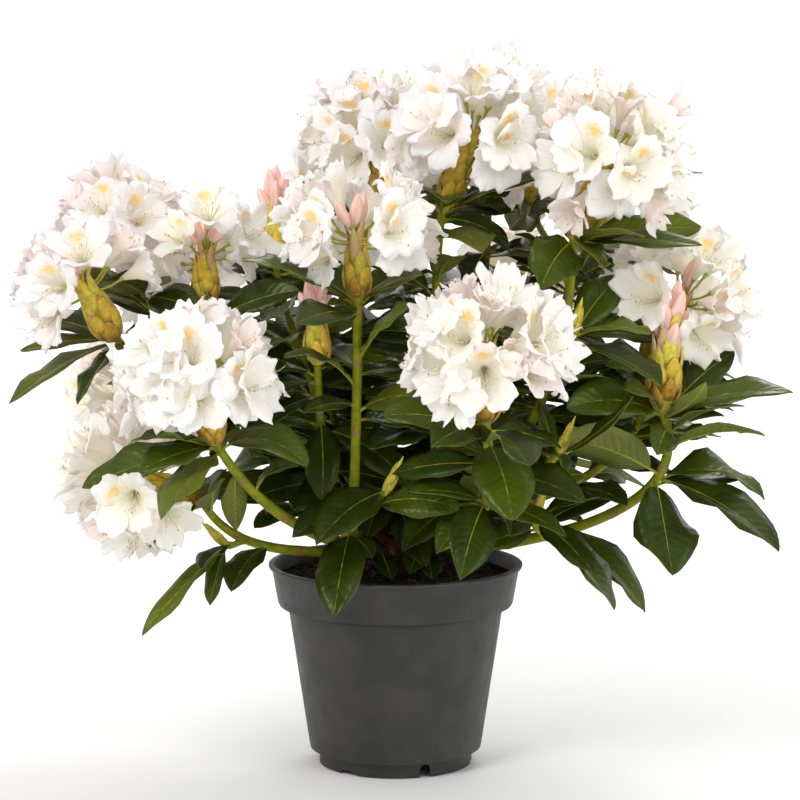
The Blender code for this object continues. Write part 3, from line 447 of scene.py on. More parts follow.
LIMBS = {
    "front_left": Limb("trunk", 0.60, (-135, 10), (-0.151, -0.150, 0.311), (-115, 45), (6.0, 3.6), 0.66),
    "low_left": Limb("trunk", 0.50, (-152, 10), (-0.168, -0.090, 0.253), (-130, 55), (5.5, 3.4), 0.58),
    "mid_front": Limb("front_left", 0.20, (-85, 70), (-0.032, -0.100, 0.425), (0, 90), (4.6, 4.0), 0.42),
    "mid_left": Limb("trunk", 0.80, (165, 35), (-0.067, -0.070, 0.368), (-90, 65), (4.6, 3.4), 0.60),
    "far_left": Limb("trunk", 0.60, (150, 15), (-0.246, -0.028, 0.384), (-145, 10), (5.0, 3.4), 0.52),
    "top_left": Limb("trunk", 0.90, (105, 60), (-0.010, 0.020, 0.496), (-175, 75), (4.6, 3.6), 0.30),
    "top_mid": Limb("trunk", 0.94, (10, 65), (0.041, -0.010, 0.496), (35, 80), (4.6, 3.8), 0.30),
    "top_back": Limb("trunk", 0.80, (55, 50), (0.083, 0.090, 0.521), (95, 70), (4.8, 3.8), 0.45),
    "top_right": Limb("trunk", 0.90, (0, 30), (0.155, -0.030, 0.474), (85, 70), (5.0, 3.6), 0.58),
    "right_high": Limb("trunk", 0.78, (32, 35), (0.200, 0.070, 0.516), (0, 65), (5.0, 3.4), 0.60),
    "centre": Limb("trunk", 0.80, (-20, 15), (0.075, -0.170, 0.331), (-100, 55), (6.4, 4.0), 0.36),
    "right": Limb("trunk", 0.54, (-12, 5), (0.231, -0.050, 0.326), (160, 65), (5.6, 4.0), 0.66),
    "right_back": Limb("top_right", 0.18, (-30, -5), (0.222, 0.004, 0.362), (135, 70), (4.4, 3.4), 0.66),
    "back_left": Limb("far_left", 0.16, (125, 20), (-0.166, 0.160, 0.384), (135, 55), (4.6, 3.4), 0.46),
    "back_mid": Limb("trunk", 0.72, (100, 25), (-0.038, 0.170, 0.424), (105, 70), (5.0, 3.6), 0.40),
    "back_right": Limb("trunk", 0.54, (62, 15), (0.104, 0.182, 0.346), (65, 70), (5.0, 3.4), 0.50),
    "inner_left": Limb("trunk", 0.92, (130, 40), (-0.072, 0.070, 0.350), (150, 70), (4.2, 3.2), 0.34),
    "inner_right": Limb("trunk", 0.90, (25, 35), (0.112, 0.016, 0.340), (-10, 70), (4.2, 3.2), 0.34),
    "foot_left": Limb("front_left", 0.26, (-85, 20), (-0.008, -0.070, 0.256), (-20, 50), (3.4, 2.8), 0.0),
    "right_low": Limb("right", 0.40, (-60, 20), (0.122, -0.060, 0.232), (-50, 50), (3.4, 2.8), 0.0),
}


class Line:
    """A smooth middle line, measured along its length."""

    def __init__(self, points):
        self.points = np.array([tuple(point) for point in points])
        steps = np.linalg.norm(np.diff(self.points, axis=0), axis=1)
        self.along = np.concatenate([[0.0], np.cumsum(steps)])
        self.length = float(self.along[-1])

    def spots(self, distances):
        """The points at these distances along the line."""
        return np.stack([np.interp(distances, self.along, self.points[:, axis]) for axis in range(3)], axis=1)

    def at(self, distance):
        """The point and the direction at a distance along the line."""
        distance = min(max(distance, 0.0), self.length)
        before, here, after = self.spots(
            [max(distance - 0.001, 0), distance, min(distance + 0.001, self.length)])
        return Vector(here), Vector(after - before).normalized()


def bezier(start, first, last, end, t):
    """The point at a share of the way along a cubic curve."""
    s = 1 - t
    return start * s ** 3 + first * 3 * s * s * t + last * 3 * s * t * t + end * t ** 3


def curve_between(root, sets_out, head, arrives):
    """The line that leaves one point and reaches another in the directions given."""
    chord = (head - root).length
    first = root + sets_out * chord * LIMB_SWEEP
    last = head - arrives * chord * LIMB_SWEEP
    count = max(3, round(chord * 1.1 / WOOD_STEP))
    return Line([bezier(root, first, last, head, number / count) for number in range(count + 1)])


def grow_line(name):
    """The middle line of a limb, and how far from the trunk it springs. On the trunk it starts off centre."""
    limb = LIMBS[name]
    if limb.parent == "trunk":
        aside = heading(limb.sets_out[0], 0) * TRUNK_RADIUS * LIMB_SEAT
        root = TRUNK_FOOT.lerp(TRUNK_HEAD, limb.at) + aside
        reached = 0.0
    else:
        parent, before = LINES[limb.parent]
        root, _ = parent.at(parent.length * limb.at)
        reached = before + parent.length * limb.at
    return curve_between(root, heading(*limb.sets_out), Vector(limb.head), heading(*limb.arrives)), reached


def ring_faces(rings, sides):
    """The faces between rings of points, each joined to the next."""
    return [(ring * sides + side, ring * sides + (side + 1) % sides,
             (ring + 1) * sides + (side + 1) % sides, (ring + 1) * sides + side)
            for ring in range(rings - 1) for side in range(sides)]


def closed_faces(rings, sides):
    """The faces between rings of points, with one more to close each end."""
    ends = [tuple(reversed(range(sides))), tuple(range((rings - 1) * sides, rings * sides))]
    return ring_faces(rings, sides) + ends


def tube(centres, radii, sides, relief=0.0):
    """The points and faces of a closed tube with a ring of points round each centre."""
    centres = np.asarray(centres, float)
    along = np.gradient(centres, axis=0)
    along /= np.linalg.norm(along, axis=1)[:, None]
    side = Vector(along[0]).orthogonal()
    across = []
    for direction in map(Vector, along):
        side = (side - direction * side.dot(direction)).normalized()
        across.append(side)
    across = np.array(across)
    other = np.cross(along, across)
    turn = np.arange(sides) * math.tau / sides
    reach = (np.asarray(radii, float)[:, None] + relief) * np.ones(sides)
    out = across[:, None] * np.cos(turn)[None, :, None] + other[:, None] * np.sin(turn)[None, :, None]
    points = centres[:, None] + out * reach[..., None]
    return points.reshape(-1, 3), closed_faces(len(centres), sides)


def barked(heap, line, reached, start, stop, radius_at, sides, step):
    """Sweeps a limb between two distances along it, with its bark and with a ring of scars for each year."""
    rings = set(np.linspace(start, stop, max(3, round((stop - start) / step))).tolist())
    scars = []
    for year in range(1, YEARS + 1):
        for fold in SCAR_FOLDS:
            scar = line.length - year * YEAR + FIRST_SCAR - fold
            if start + 0.004 < scar < stop - 0.004:
                scars.append(scar)
                rings = {ring for ring in rings if abs(ring - scar) > 0.0011}
                rings |= {scar - SCAR_HALF, scar, scar + SCAR_HALF}
    rings = sorted(rings)
    turns = np.arange(sides) * math.tau / sides
    relief, tints, uvs = [], [], []
    for ring in rings:
        old = 1 - min(1, max(0, (reached + ring - WOODY_UNTIL) / (GREEN_FROM - WOODY_UNTIL)))
        raised = SCAR_HEIGHT * any(abs(ring - scar) < 0.0001 for scar in scars) * (1 - old)
        row = []
        for turn in turns:
            along = (reached + ring) * 38 + line.length * 50
            spot = Vector((math.cos(turn) * 1.3, math.sin(turn) * 1.3, along))
            plates = noise.noise(spot) * PLATE_HEIGHT + noise.noise(spot * 2.7) * FLAKE_HEIGHT
            row.append(plates * (SMOOTH_BARK + (1 - SMOOTH_BARK) * old) + raised)
        relief.append(row)
        tints += [1 - old] * sides
        uvs += [(turn / math.tau, (reached + ring) * 10) for turn in turns]
    radii = np.array([radius_at(ring) for ring in rings])
    points, faces = tube(line.spots(rings), radii, sides, np.array(relief))
    slots = []
    for low, high in zip(rings, rings[1:]):
        slots += [any(abs((low + high) / 2 - scar) < 0.0006 for scar in scars)] * sides
    heap.add(points, faces, [int(slot) for slot in slots] + [0, 0], uvs, tints)
    return points, faces


def bark_finish():
    """Old wood in reddish-brown flakes, darkened as painted shade at the fork, that gives way to smooth
    yellow-green bark further out.
    """
    material, tree, shader = finish_of("bark", (0.16, 0.09, 0.04), 0.7, Specular_IOR_Level=0.25,
                                       Specular_Tint=(0.95, 1.0, 0.6, 1))
    along = node(tree, "ShaderNodeUVMap", uv_map="along")
    place = node(tree, "ShaderNodeMapping", {"Vector": along.outputs["UV"], "Scale": (3.0, 1.2, 1.0)})
    flakes = node(tree, "ShaderNodeTexNoise", {
        "Vector": place.outputs["Vector"], "Scale": 6.0, "Detail": 8.0, "Roughness": 0.7})
    # The old wood's browns are very dark: partly its own colour, partly painted shade for the fork deep among
    # the boughs.
    wood = node(tree, "ShaderNodeValToRGB", {"Fac": flakes.outputs["Fac"]})
    wood.color_ramp.elements[0].position = 0.36
    wood.color_ramp.elements[0].color = (0.014, 0.007, 0.004, 1)
    wood.color_ramp.elements[1].position = 0.66
    wood.color_ramp.elements[1].color = (0.120, 0.050, 0.020, 1)
    streaks = mottled(tree, 90.0, 0.35, 0.7, 5.0)
    green = mixed(tree, streaks.outputs["Mask"], *GREEN_BARK)
    tint = node(tree, "ShaderNodeAttribute", attribute_name="tint")
    both = mixed(tree, tint.outputs["Fac"], wood.outputs["Color"], green)
    tree.links.new(both, shader.inputs["Base Color"])
    two_tone(tree, shader, tint.outputs["Fac"], 0.85, 0.45, "Roughness")
    bumped(tree, shader, flakes.outputs["Fac"], 0.0010, 0.6)
    return material


def scar_finish():
    """The corky tan rings between one year's growth and the next."""
    material, tree, shader = finish_of("growth_scar", (0.30, 0.17, 0.07), 0.8, Specular_IOR_Level=0.3)
    cork = mottled(tree, 300.0, 0.3, 0.7, 3.0)
    two_tone(tree, shader, cork.outputs["Mask"], (0.20, 0.10, 0.04), (0.40, 0.25, 0.11))
    return material


BARK, SCAR = bark_finish(), scar_finish()
LINES = {}
for name in LIMBS:
    LINES[name] = grow_line(name)
WOOD_SHAPES = []
wood = Heap()
trunk_line = Line([TRUNK_FOOT.lerp(TRUNK_HEAD, share) for share in np.linspace(0, 1, 12)])
barked(wood, trunk_line, 0.0, 0.0, trunk_line.length,
       lambda along: float(np.interp(along / trunk_line.length, TRUNK_SHARES, TRUNK_RADII)),
       TRUNK_SIDES, TRUNK_STEP)
for name, limb in LIMBS.items():
    if not limb.bough:
        continue
    line, reached = LINES[name]
    first, last = (radius / 1000 for radius in limb.radii)

    def bough_radius(along):
        """Tapers evenly, and swells where the limb leaves its parent."""
        flare = max(0, 1 - along / FLARE_LENGTH) ** 2 * LIMB_FLARE
        return first + (last - first) * along / line.length + flare

    WOOD_SHAPES.append(barked(
        wood, line, reached, 0.0, line.length * limb.bough, bough_radius, BOUGH_SIDES, WOOD_STEP))
wood_piece = wood.joined("wood", [BARK, SCAR])
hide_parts("trunk", *("bough_" + name for name, limb in LIMBS.items() if limb.bough))

# The green stems: each mass is one stem that grows on from its bough, and the side twigs that it bears.
# They are swept like the boughs, in one joined piece, from just inside the bough's end.
TWIG_RADIUS = 0.0030
TWIG_RISE = 0.6
TWIG_SIDES = 9
STEM_SIDES = 10
STEM_STEP = 0.005
STEM_OVERLAP = 0.003
# The mass that a side twig springs from, how far up its stem, and the twig's head.
TWIGS = {
    "low_left_spur": ("low_left", 0.24, (-0.147, -0.071, 0.209)),
    "far_left_back": ("far_left", 0.35, (-0.226, 0.048, 0.420)),
    "far_left_inner": ("far_left", 0.12, (-0.168, 0.004, 0.408)),
    "mid_left_high": ("mid_left", 0.25, (-0.106, 0.008, 0.446)),
    "top_right_bud": ("top_right", 0.22, (0.154, -0.062, 0.392)),
    "top_right_back": ("top_right", 0.62, (0.122, 0.064, 0.500)),
    "right_mid": ("centre", 0.22, (0.140, -0.100, 0.294)),
    "right_high_back": ("right_high", 0.15, (0.190, 0.146, 0.460)),
    "right_back_low": ("right_back", 0.45, (0.206, 0.092, 0.286)),
    "back_left_low": ("back_left", 0.20, (-0.196, 0.116, 0.282)),
    "back_mid_low": ("back_mid", 0.15, (-0.066, 0.196, 0.290)),
    "back_right_low": ("back_right", 0.20, (0.158, 0.158, 0.254)),
}


class Room:
    """Knows what has grown, and says whether a new shape would be clear of it."""

    def __init__(self):
        self.kinds, self.trees, self.lows, self.highs = [], [], [], []

    def take(self, kind, points, faces):
        """Remembers a shape, by what kind of thing it is."""
        points = np.asarray(points)
        self.kinds.append(kind)
        self.trees.append(BVHTree.FromPolygons(points.tolist(), faces))
        self.lows.append(points.min(axis=0))
        self.highs.append(points.max(axis=0))

    def clear(self, points, faces, kinds):
        """Whether a shape keeps off all that stands of these kinds."""
        points = np.asarray(points)
        near = (np.array(self.lows) <= points.max(axis=0)) & (np.array(self.highs) >= points.min(axis=0))
        tree = None
        for number in np.nonzero(near.all(axis=1))[0]:
            if self.kinds[number] in kinds:
                tree = tree or BVHTree.FromPolygons(points.tolist(), faces)
                if tree.overlap(self.trees[number]):
                    return False
        return True


def stem_finish():
    """Smooth, slightly waxy young bark, yellow-green and darker in patches."""
    material, tree, shader = finish_of("green_stem", (0.22, 0.24, 0.01), 0.45, Specular_IOR_Level=0.28,
                                       Specular_Tint=(0.9, 1.0, 0.5, 1))
    patches = mottled(tree, 90.0, 0.35, 0.7, 5.0)
    two_tone(tree, shader, patches.outputs["Mask"], *GREEN_BARK)
    bumped(tree, shader, patches.outputs["Height"], 0.0004, 0.4)
    return material


room = Room()
for mesh in (frame["nodes"]["pot"].data, frame["nodes"]["compost"].data):
    room.take("pot", [vertex.co[:] for vertex in mesh.vertices],
              [tuple(face.vertices) for face in mesh.polygons])
for shape in WOOD_SHAPES:
    room.take("stem", *shape)
SHOOTS = {}  # the middle line and the radius of each shoot
stems = Heap()
for name, limb in LIMBS.items():
    line, reached = LINES[name]
    first, last = (radius / 1000 for radius in limb.radii)
    begin = max(0.0, line.length * limb.bough - STEM_OVERLAP)
    SHOOTS[name] = (line, last)
    shape = barked(stems, line, reached + GREEN_FROM, begin, line.length,
                   lambda along: first + (last - first) * along / line.length, STEM_SIDES, STEM_STEP)
    room.take("stem", *shape)
for twig, (mass, share, head) in TWIGS.items():
    line, _ = LINES[mass]
    begin = line.length * LIMBS[mass].bough
    root, along = line.at(begin + (line.length - begin) * share)
    towards = (Vector(head) - root).normalized()
    twig_line = curve_between(root, (along + towards).normalized(), Vector(head),
                              (towards + Vector((0, 0, TWIG_RISE))).normalized())
    SHOOTS[twig] = (twig_line, TWIG_RADIUS)
    shape = barked(stems, twig_line, GREEN_FROM, 0.0, twig_line.length, lambda along: TWIG_RADIUS,
                   TWIG_SIDES, STEM_STEP)
    room.take("stem", *shape)
stem_piece = stems.joined("green_stems", [stem_finish(), SCAR])

# The bract cones and leaf buds: a flowering shoot ends in a cone of overlapping bracts that carried the
# flower bud, golden with brown edges low down and yellow-green above. A leafy shoot ends in a long pointed
# bud. Each bract is a small cupped sheet wrapped round the cone, given its thickness once all are joined.
SHOOT_RISE = 0.5
CONE_SHARE = 0.90
CONE_DEPTH = 0.16
CONE_RADIUS = 0.0105
CONE_SIDES = 10
BRACTS_FOR_LENGTH = 360  # bracts for each metre of cone
BRACT_LENGTHS = (0.022, 0.032)
BRACT_HALVES = (0.0054, 0.0074)
LEAF_BUD_LENGTH = 0.038
LEAF_BUD_RADII = (0.0036, 0.0044)
LEAF_BUD_SCALES = 7
GOLDEN_ANGLE = 137.5
WHITE, CREAM, BLUSH, ROSY = range(4)


class Truss(NamedTuple):
    """The flower head of a shoot."""

    bearing: float
    pitch: float
    middle: float  # millimetres from the head of the shoot to the middle of the dome
    blossoms: int
    buds: int
    bare: float = None  # the bearing of the side where its cone shows
    size: float = 1.0
    tint: int = WHITE
    girth: float = 1.0  # of the cone
    spread: float = 96  # degrees from the top of the dome down to its edge


TRUSSES = {
    "front_left": Truss(-130, 68, 62, 10, 0, girth=1.15, spread=86),
    "low_left": Truss(-158, 20, 66, 9, 0, size=0.92, tint=CREAM, spread=110),
    "far_left": Truss(-165, 62, 62, 6, 3, -58, size=0.94, tint=BLUSH, girth=1.22),
    "far_left_back": Truss(160, 70, 60, 8, 0, size=0.94, tint=BLUSH, spread=102),
    "far_left_inner": Truss(90, 84, 58, 6, 5, -80, size=0.90),
    "mid_left": Truss(-100, 82, 44, 1, 8, tint=CREAM),
    "mid_left_high": Truss(90, 86, 60, 1, 7, size=0.9, tint=BLUSH),
    "mid_front": Truss(-100, 84, 62, 8, 3, -92, size=0.96),
    "top_left": Truss(170, 84, 64, 10, 0, tint=BLUSH),
    "top_mid": Truss(-20, 66, 80, 10, 0, spread=100),
    "top_back": Truss(40, 78, 56, 7, 0, tint=BLUSH),
    "top_right": Truss(-30, 64, 86, 11, 0, spread=112),
    "top_right_back": Truss(120, 80, 62, 5, 0, tint=BLUSH),
    "right_high": Truss(120, 80, 46, 7, 0, size=0.94, tint=BLUSH),
    "right_high_back": Truss(60, 60, 60, 7, 0, tint=BLUSH),
    "centre": Truss(-96, 72, 68, 11, 0, girth=1.15),
    "right": Truss(0, 84, 84, 0, 8, tint=CREAM, girth=1.28),
    "right_back": Truss(-15, 60, 72, 8, 1, -170, size=0.96, tint=CREAM, spread=104),
    "back_left": Truss(135, 55, 66, 7, 0, tint=BLUSH),
    "back_mid": Truss(100, 66, 66, 7, 0),
    "back_right": Truss(70, 55, 66, 7, 0, tint=CREAM),
    "back_left_low": Truss(150, 30, 66, 6, 0, tint=CREAM),
}
BRACT_ROWS = np.array([0.0, 0.25, 0.55, 0.82, 1.0])
BRACT_WIDTHS = np.array([0.74, 1.0, 0.88, 0.50, 0.05])
BRACT_COLUMNS = np.array([-1.0, -0.5, 0.0, 0.5, 1.0])
CONE_RISES = [-0.04, 0.10, 0.32, 0.60, 1.0]
CONE_GIRTHS = [0.42, 0.84, 1.0, 0.84, 0.40]
BRACTS_OUT = 1.12
BUD_GIRTHS = [0.55, 0.90, 1.0, 0.72, 0.10]


def axes_about(direction, up):
    """Three directions at right angles: across, towards up, and along the one given."""
    along = direction.normalized()
    upward = up - along * up.dot(along)
    if upward.length < 0.05:
        upward = along.orthogonal()
    upward = upward.normalized()
    return upward.cross(along), upward, along


def sheet_faces(rows, columns):
    """The faces of a sheet of points in rows. Wrapped round an axis, it faces outward."""
    return [(row * columns + column, row * columns + column + 1,
             (row + 1) * columns + column + 1, (row + 1) * columns + column)
            for row in range(rows - 1) for column in range(columns - 1)]


BRACT_FACES = sheet_faces(len(BRACT_ROWS), len(BRACT_COLUMNS))
TIP_FACES = len(BRACT_COLUMNS) - 1
RUSSET, GOLDEN, FRESH, EDGE, BLUSHED = range(5)


def add_bract(heap, head, axes, length, girth_at, rise, turn, size, flare, slots):
    """One bract wrapped round the cone: its foot close in, its tip held off by the flare."""
    across, upward, along = axes
    bract, half = size
    start = rise * length * 0.86 - 0.002
    points = []
    for share, width in zip(BRACT_ROWS, BRACT_WIDTHS):
        at = start + bract * share * (1 - 0.10 * rise)
        girth = girth_at(at / length) + 0.0005 + flare * share ** 2 + half * 0.16 * math.sin(math.pi * share)
        for column in BRACT_COLUMNS:
            angle = turn + column * half * width / max(girth, half * 0.9)
            out = across * math.cos(angle) + upward * math.sin(angle)
            points.append(head + along * at + out * (girth - half * 0.11 * abs(column)))
    heap.add(points, BRACT_FACES, slots)


def add_cone(heap, head, axis, length, girth, chance, rosy):
    """The cone under a truss: some twenty broad bracts in a spiral, looser the higher they are."""
    axes = axes_about(axis, Vector((0, 0, 1)))

    def girth_at(rise):
        return max(0.004, float(np.interp(rise, CONE_RISES, CONE_GIRTHS)) * CONE_RADIUS * girth)

    rises = np.linspace(CONE_RISES[0], 1.0, 9)
    heap.add(*tube([head + axis * length * float(rise) for rise in rises],
                   [girth_at(float(rise)) * 0.92 for rise in rises], CONE_SIDES), FRESH)
    count = round(length * BRACTS_FOR_LENGTH)
    for number in range(count):
        rise = (number + 0.3) / count
        turn = math.radians(number * GOLDEN_ANGLE + chance.uniform(-9, 9))
        bract = chance.uniform(*BRACT_LENGTHS) * (0.8 + 0.25 * rise)
        half = chance.uniform(*BRACT_HALVES) * girth * (1 - 0.15 * rise)
        flare = (0.0010 + 0.0085 * rise ** 3) * chance.uniform(0.3, 1.6)
        tone = RUSSET if rise < 0.16 else GOLDEN if rise < 0.5 or chance.random() < 0.3 else FRESH
        tip = BLUSHED if rosy and rise > 0.5 else EDGE if chance.random() < 0.6 else tone
        body = BLUSHED if rosy and rise > 0.7 and chance.random() < 0.6 else tone
        slots = [body] * (len(BRACT_FACES) - TIP_FACES) + [tip] * TIP_FACES
        add_bract(heap, head, axes, length, girth_at, rise, turn, (bract, half), flare, slots)


def add_leaf_bud(heap, head, axis, chance):
    """The closed bud of a leafy shoot: a long spindle wrapped in a few tight scales."""
    axes = axes_about(axis, Vector((0, 0, 1)))
    thickest = chance.uniform(*LEAF_BUD_RADII)

    def girth_at(rise):
        return max(0.0003, float(np.interp(rise, CONE_RISES, BUD_GIRTHS)) * thickest)

    rises = np.linspace(CONE_RISES[0], 1.0, 10)
    heap.add(*tube([head + axis * LEAF_BUD_LENGTH * float(rise) for rise in rises],
                   [girth_at(float(rise)) for rise in rises], 8), FRESH)
    for number in range(LEAF_BUD_SCALES):
        rise = number * 0.10
        size = LEAF_BUD_LENGTH * (0.5 - 0.02 * number), thickest * 0.95
        add_bract(heap, head, axes, LEAF_BUD_LENGTH, girth_at, rise, number * 2.4, size, 0.0004, FRESH)


def bract_finish(name, first, second):
    """Papery bracts, thin and slightly downy, with the colour drifting along them."""
    material, tree, shader = finish_of(name, first, 0.5, Specular_IOR_Level=0.4, Sheen_Weight=0.15)
    drift = mottled(tree, 220.0, 0.36, 0.64, 5.0)
    two_tone(tree, shader, drift.outputs["Mask"], first, second)
    bumped(tree, shader, drift.outputs["Height"], 0.0012, 0.9)
    return material


def shoot_axis(shoot):
    """Which way the truss or the bud at the head of a shoot points."""
    if shoot in TRUSSES:
        return heading(TRUSSES[shoot].bearing, TRUSSES[shoot].pitch)
    line, _ = SHOOTS[shoot]
    _, along = line.at(line.length)
    return (along + Vector((0, 0, SHOOT_RISE))).normalized()


cones = Heap()
for shoot, (line, _) in SHOOTS.items():
    chance = random.Random("cone " + shoot)
    head, axis = Vector(line.points[-1]), shoot_axis(shoot)
    if shoot in TRUSSES:
        length = TRUSSES[shoot].middle / 1000 * CONE_SHARE
        girth = BRACTS_OUT * TRUSSES[shoot].girth
        add_cone(cones, head, axis, length, girth, chance, TRUSSES[shoot].buds > 0)
        core = tube([head + axis * length * rise for rise in CONE_RISES],
                    [CONE_RADIUS * share for share in CONE_GIRTHS], 8)
        room.take("stem", *core)
    else:
        add_leaf_bud(cones, head - axis * 0.003, axis, chance)
cone_piece = cones.joined("bract_cones", [
    bract_finish("bract_russet", (0.48, 0.20, 0.018), (0.74, 0.46, 0.036)),
    bract_finish("bract_golden", (0.88, 0.60, 0.050), (0.60, 0.42, 0.030)),
    bract_finish("bract_green", (0.50, 0.44, 0.028), (0.80, 0.64, 0.075)),
    bract_finish("bract_edge", (0.38, 0.16, 0.022), (0.66, 0.42, 0.070)),
    bract_finish("bract_rosy", (0.72, 0.44, 0.26), (0.66, 0.48, 0.16))])
finish_with(cone_piece, "SOLIDIFY", thickness=0.0005, offset=-1.0)

# The leaves that stand out at the front: leathery blades with a pale midrib, a paler matt underside and a
# wavy margin. Each is laid out as one sheet along a drooping arc and set on its shoot, or turned a little
# aside where its place is taken.
LEAF_BREADTH = 0.36
LEAF_DROOP = 30
LEAF_SEAT = 0.3
LEAF_LEAN = 42
LEAF_TWIST = 24
LEAF_SWAY = 16
SHADE_MIDDLE = 0.10
BLADE_FROM = 0.10  # the share of a leaf's length that is its stalk
LEAF_ROWS = np.array([
    BLADE_FROM, 0.135, 0.185, 0.255, 0.34, 0.435, 0.535, 0.635, 0.73, 0.815, 0.885, 0.94, 0.975, 1.0])
LEAF_COLUMNS = 6
MIDDLE_SHARE = 0.55
WAVE_DEPTHS, WAVE_COUNTS = (0.03, 0.20), (1.3, 2.6)
CURLY_SHARE, CURLY_DEPTH = 0.16, 2.2
FOLDS = (0.02, 0.26)
FULLEST, BLUNT, SHARP = (0.90, 1.12), (0.58, 0.72), (0.60, 1.00)  # powers of the outline's curve
LEAF_FACES = [face[::-1] for face in sheet_faces(len(LEAF_ROWS), LEAF_COLUMNS)]


class Leaf(NamedTuple):
    """A leaf as it stands: where it is rooted and how it points, in degrees and metres."""

    root: Vector
    bearing: float
    pitch: float
    length: float
    droop: float
    breadth: float
    roll: float
    twist: float
    sway: float


# Millimetres below the head of the shoot, bearing and pitch in degrees, length in millimetres, then droop,
# breadth over length and roll where they aren't the usual ones.
LEAVES = {
    "front_left": [
        (8, -175, -17, 120, 20, 0.34), (6, -137, -10, 80, 25, 0.42), (14, -120, -27, 100, 30, 0.46),
        (10, -33, -5, 97, 75), (72, -43, 28, 62, 70, 0.30), (42, 80, -50, 85, 20, 0.30),
    ],
    "low_left": [
        (5, -124, -16, 75, 20, 0.30), (8, 166, -29, 62, 20, 0.30),
    ],
    "low_left_spur": [
        (6, -126, -16, 56, 30, 0.50), (2, -141, -38, 112, 20, 0.18), (0, -112, -55, 58, 20, 0.34),
    ],
    "far_left": [
        (3, 122, 13, 85), (2, 150, 16, 97, 20, 0.28), (4, -131, 9, 78, 50, 0.48),
        (3, 170, -8, 92, 20, 0.22), (8, -150, -18, 118, 30, 0.26), (10, -116, -32, 90),
    ],
    "far_left_back": [
        (4, -121, 14, 70, 40, 0.40), (6, -61, 18, 60, 30, 0.30),
    ],
    "mid_left_high": [
        (3, 125, 4, 85), (40, 124, 21, 80, 20, 0.26), (42, 150, 8, 90, 20, 0.22),
    ],
    "mid_left": [
        (20, -136, -4, 90), (34, -150, -24, 85), (60, -84, -47, 88),
    ],
    "mid_front": [
        (4, -155, 22, 112, 25, 0.30), (3, 131, 16, 85, 25, 0.32), (3, 51, 18, 80),
        (4, -49, 21, 87, 30, 0.34), (12, -115, 14, 50), (50, -50, 36, 85, 30, 0.40),
        (74, -138, 20, 92, 60, 0.30), (60, 120, 12, 84), (72, -75, 28, 52, 40, 0.50),
        (65, 42, 1, 55, 20, 0.40), (92, -133, -1, 62), (98, -40, 9, 97, 45, 0.40),
        (106, 35, -14, 80, 30, 0.40),
    ],
    "centre": [
        (4, -124, -8, 77, 35, 0.50), (24, -76, -32, 102, 30, 0.50), (12, 37, -15, 82),
        (52, 131, 3, 76, 80, 0.26), (54, 110, -27, 60), (56, 160, -9, 92, 25, 0.34),
        (118, -145, 11, 82, 25, 0.28), (124, 152, -3, 90, 20, 0.26), (120, -108, -38, 92, 35, 0.46),
        (130, -130, -30, 68, 30, 0.50), (116, -38, -17, 84, 30, 0.42),
    ],
    "right_low": [
        (0, -25, 20, 62, 30, 0.34), (2, -58, -24, 90, 30, 0.42), (1, -42, -40, 112, 30, 0.44),
        (16, -24, -32, 124, 50, 0.36, 28),
    ],
    "foot_left": [
        (0, -137, -15, 102, 40, 0.46), (48, -98, -37, 102, 40, 0.42),
    ],
    "top_right": [
        (4, -117, -26, 82, 30, 0.58), (3, -69, -16, 72, 30, 0.46), (4, -28, 0, 117, 15, 0.30),
        (3, 16, 4, 120, 15, 0.28),
    ],
    "top_right_back": [
        (6, -140, 6, 75, 35, 0.50), (8, -100, -12, 80, 40, 0.32),
    ],
    "top_right_bud": [
        (2, 58, 42, 80, 20, 0.44), (2, -42, 5, 85, 45, 0.32), (3, 15, -1, 92, 50, 0.32),
        (4, 30, -32, 80),
    ],
    "top_mid": [
        (2, -91, 16, 82, 60, 0.46), (3, -28, 25, 117, 25, 0.34), (3, 48, -1, 100),
        (8, 10, -26, 72, 60, 0.30), (40, -131, 7, 42, 40, 0.50),
    ],
    "top_left": [
        (3, 143, 24, 97, 50, 0.32), (2, -98, -6, 72, 40, 0.50),
    ],
    "right": [
        (66, -86, -42, 106, 25, 0.54), (64, -28, -25, 130, 30, 0.37, 22), (66, -4, -15, 104, 80, 0.40, 18),
        (60, -165, 20, 100, 30, 0.54, 50), (34, -34, 10, 97, 40, 0.42), (22, -41, 21, 82, 40, 0.34),
        (6, -22, 12, 117, 35, 0.36, 34), (7, -56, 24, 80, -30, 0.26), (6, 30, 35, 90, 20, 0.40),
        (6, -129, 28, 76, 50, 0.40), (20, -102, -18, 52, 60, 0.60), (7, 117, 34, 92),
    ],
    "right_mid": [
        (4, 101, 42, 60, 10), (4, 72, 36, 60, 10), (6, 150, 14, 50, 20), (5, 123, 21, 82),
        (4, -78, -3, 50, 80, 0.50), (3, -29, 38, 90, -25, 0.30),
    ],
}
SMALL_MOVES = [
    (0, 0, 1), (6, 4, 1), (-6, 4, 1), (0, -7, 1), (10, -5, 1), (-10, -5, 1), (0, 9, 0.95),
    (15, 0, 0.92), (-15, 0, 0.92), (0, 0, 0.8), (12, 8, 0.8), (-12, 8, 0.8),
]
WIDE_MOVES = SMALL_MOVES + [
    (25, 10, 0.95), (-25, 10, 0.95), (35, -10, 0.9), (-35, -10, 0.9), (20, 22, 0.85),
    (-20, 22, 0.85), (0, -24, 0.85), (45, 5, 0.8), (-45, 5, 0.8),
]


